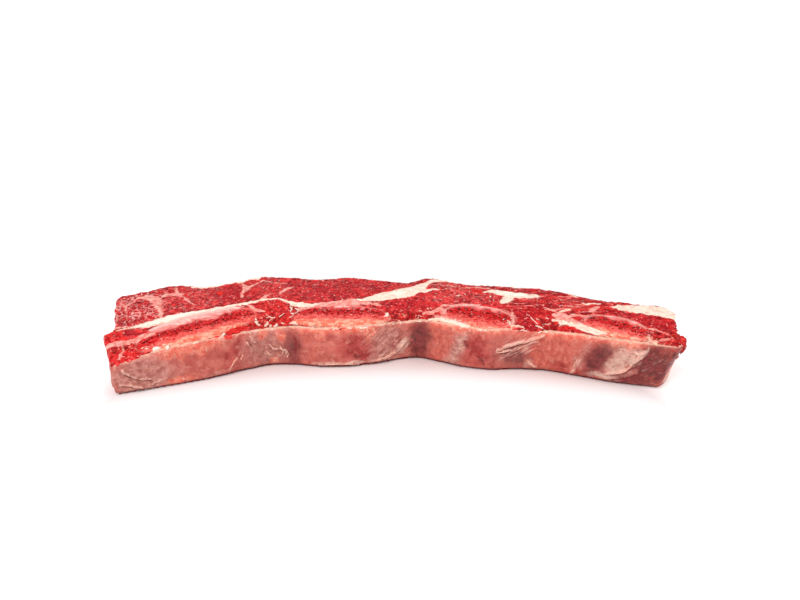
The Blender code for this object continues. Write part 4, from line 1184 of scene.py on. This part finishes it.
def edgeBits(ground, dice):
    paths = []
    for _ in range(bits["backTufts"]):
        x = dice.uniform(-112, 118)
        for y in np.arange(52, -20, -0.4):
            top = castDown(ground, x, y, 0.0)
            if top > 17:
                half, lean = dice.uniform(0.25, 0.5), dice.uniform(-1.2, 1.2)
                placed = [(x, y - 0.8, top - 0.1), (x + lean * 0.5, y, top + 0.2),
                          (x + lean, y + 0.2, top + 0.7)]
                paths.append((placed, [half, half * 0.8, half * 0.4], dice.uniform(0.1, 0.9)))
                break
    for _ in range(bits["rimFlecks"]):
        middle = dice.uniform(-112, 128)
        bend, reach, half = dice.uniform(-0.5, 0.5), dice.uniform(0.4, 1.5), dice.uniform(0.18, 0.36)
        placed = []
        for side in (-1, 0, 1):
            x = middle + side * reach
            y = castBack(ground, x, 19) + bits["rimBack"] + side * bend
            placed.append((x, y, castDown(ground, x, y) + 0.1 * half))
        paths.append((placed, [half * 0.6, half, half * 0.6], dice.uniform(0.0, 1.1)))
    return paths


def makeBits(pieces):
    below = bmesh.new()
    for piece in pieces:
        below.from_mesh(piece.data)
    ground = BVHTree.FromBMesh(below)
    below.free()
    dice = np.random.default_rng(bits["seed"])
    paths = placedBits(ground) + strewnBits(ground, dice) + edgeBits(ground, dice)
    fat, red = bmesh.new(), bmesh.new()
    fatTones, redTones = [], []
    for number, (placed, radii, tone) in enumerate(paths):
        isRed = tone > 1.5
        count = addTube(red if isRed else fat, np.array(placed), radii, number * 1.7)
        (redTones if isRed else fatTones).extend([tone] * count)
    for number, line in enumerate(endShreds):
        points = np.array(line)
        redTones += [2.0] * addTube(red, points[:, :3], points[:, 3], 60 + number)
    for name, shape, tones, slot, finish in (("fat_bits", fat, fatTones, "fat", bitFinish()),
                                             ("meat_shreds", red, redTones, "meat", shredFinish())):
        mesh = bpy.data.meshes.new(name)
        shape.to_mesh(mesh)
        shape.free()
        setFields(mesh, {"tone": np.array(tones)})
        piece = addObject(name, mesh)
        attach(piece, "root")
        dress(piece, finish)


def bitFinish():
    f = Finish("torn_fat", moist(0.15, (1.0, 0.6, 0.5), 0.45, scale=0.001), bitTones)
    fine = f.grain(0.9, 2.0)
    peach = f.blend(fine, 0.4, 0.6, "peachDark", "peach")
    colour = f.layers(f.blend(fine, 0.4, 0.6, "cream", "white"), (f.field("tone"), 0.0, 0.9, 1.0, peach))
    return f.done(colour, 0.28 + fine * 0.1, fine, 0.2)


def shredFinish():
    f = Finish("torn_meat", moist(0.08, (1.0, 0.3, 0.2), 0.35, scale=0.001), shredTones)
    fine = f.grain(0.9, 2.0)
    # dark and bright red, with specks of painted pale highlight
    colour = f.layers(f.blend(f.grain(2.0, 3.0), 0.40, 0.62, "dark", "red"), (fine, 0.62, 0.70, 0.6, "pale"))
    return f.done(colour, 0.24 + fine * 0.1, fine, 0.3)


# Stage, light and camera

stage = {
    "size": 80.0,
    "arc": (0.00138, 12.0),   # the strip's middle line seen from above: y = 12 - 0.00138 x x
    "ahead": (26.0, 48.0),    # off that line, where the table's shade starts to fade and where it is gone
    "aside": (118.0, 148.0),  # the same from the middle out past the strip's ends
    "far": (170.0, 700.0),    # and where the far table's glow starts and is full
    "nearGlow": 0.30,         # the table's own glow in front of and behind the strip
    "sideGlow": 0.58,         # off its ends
    "farGlow": 0.72,          # and what the far table adds
    "tones": {"shade": (218, 200, 198), "open": (208, 206, 206), "unlit": (0, 0, 0),
              "lit": (255, 255, 255)},
}
lights = {
    # the room's light, from away from its bright side to the bright side itself
    "ramp": {"From Min": 0.1, "From Max": 0.9, "To Min": 0.14, "To Max": 0.95},
    "brightSide": (0.0, -0.42, 0.91),
    "aim": (0, 0, 0.01),
    # place, size, power
    "soft": [((-0.50, -0.75, 1.35), 0.7, 14.5), ((0.9, -0.3, 1.0), 0.5, 2.5),
             ((-0.15, 0.85, 0.62), 0.06, 0.35)],
}
camera = {"focal": 30.6, "sensor": 36.0, "place": (0.007456, -0.323802, 0.17959), "tilt": 65.0}


def makeStage():
    bpy.ops.mesh.primitive_plane_add(size=stage["size"], location=(0, 0, 0))
    floor = bpy.context.object
    floor.name = "floor"
    f = Finish("white_table", {"Specular IOR Level": 0.1, "Roughness": 0.8, "Emission Strength": 1.0},
               stage["tones"])
    bend, middle = stage["arc"]
    x, y = [f.node("SeparateXYZ", {}, {0: f.place}, output=k) for k in (0, 1)]
    fromLine = f.node("Math", {"operation": "ABSOLUTE"}, {0: y + x * x * bend - middle})
    fromMiddle = f.node("Math", {"operation": "ABSOLUTE"}, {0: x})
    distance = f.node("VectorMath", {"operation": "LENGTH"}, {0: f.place}, output="Value")
    ahead = f.step(fromLine, *stage["ahead"])
    aside = f.step(fromMiddle, *stage["aside"]) * stage["sideGlow"]
    far = f.step(distance, *stage["far"]) * stage["farGlow"]
    glow = f.maths("MAXIMUM", ahead * stage["nearGlow"], aside) + far
    f.feed(f.shader.inputs["Base Color"], f.mix(ahead, "shade", "open"))
    f.feed(f.shader.inputs["Emission Color"], f.mix(glow, "unlit", "lit"))
    floor.data.materials.append(f.material)


def makeLights():
    world = bpy.data.worlds.new("studio")
    bpy.context.scene.world = world
    world.use_nodes = True
    nodes, links = world.node_tree.nodes, world.node_tree.links
    direction = nodes.new("ShaderNodeTexCoord")
    facing = nodes.new("ShaderNodeVectorMath")
    facing.operation = "DOT_PRODUCT"
    facing.inputs[1].default_value = lights["brightSide"]
    ramp = nodes.new("ShaderNodeMapRange")
    links.new(direction.outputs["Generated"], facing.inputs[0])
    links.new(facing.outputs["Value"], ramp.inputs["Value"])
    for socket, value in lights["ramp"].items():
        ramp.inputs[socket].default_value = value
    links.new(ramp.outputs[0], nodes["Background"].inputs["Strength"])
    nodes["Background"].inputs["Color"].default_value = (1.0, 1.0, 1.0, 1.0)
    for number, (place, size, power) in enumerate(lights["soft"]):
        lamp = bpy.data.lights.new(f"softbox_{number}", "AREA")
        lamp.shape = "DISK"
        lamp.size = size
        lamp.energy = power
        holder = bpy.data.objects.new(lamp.name, lamp)
        bpy.context.scene.collection.objects.link(holder)
        holder.location = place
        towards = Vector(lights["aim"]) - Vector(place)
        holder.rotation_euler = towards.to_track_quat("-Z", "Y").to_euler()


def makeCamera():
    lens = bpy.data.cameras.new("camera")
    lens.sensor_width = camera["sensor"]
    lens.lens = camera["focal"]
    lens.clip_start = 0.01
    holder = bpy.data.objects.new("camera", lens)
    bpy.context.scene.collection.objects.link(holder)
    holder.location = camera["place"]
    holder.rotation_euler = (math.radians(camera["tilt"]), 0.0, 0.0)
    bpy.context.scene.camera = holder
    bpy.context.scene.view_settings.view_transform = "Standard"


makeCamera()
makeLights()
makeStage()
shown = [makeFlesh()]
boneFinish = ribFinish()
coreFinish = marrowFinish()
for ribNumber in range(1, 5):
    shown.append(makeRib(ribNumber, boneFinish))
    shown.append(makeMarrow(ribNumber, coreFinish))
shown.append(makeMembrane())
makeBits(shown)
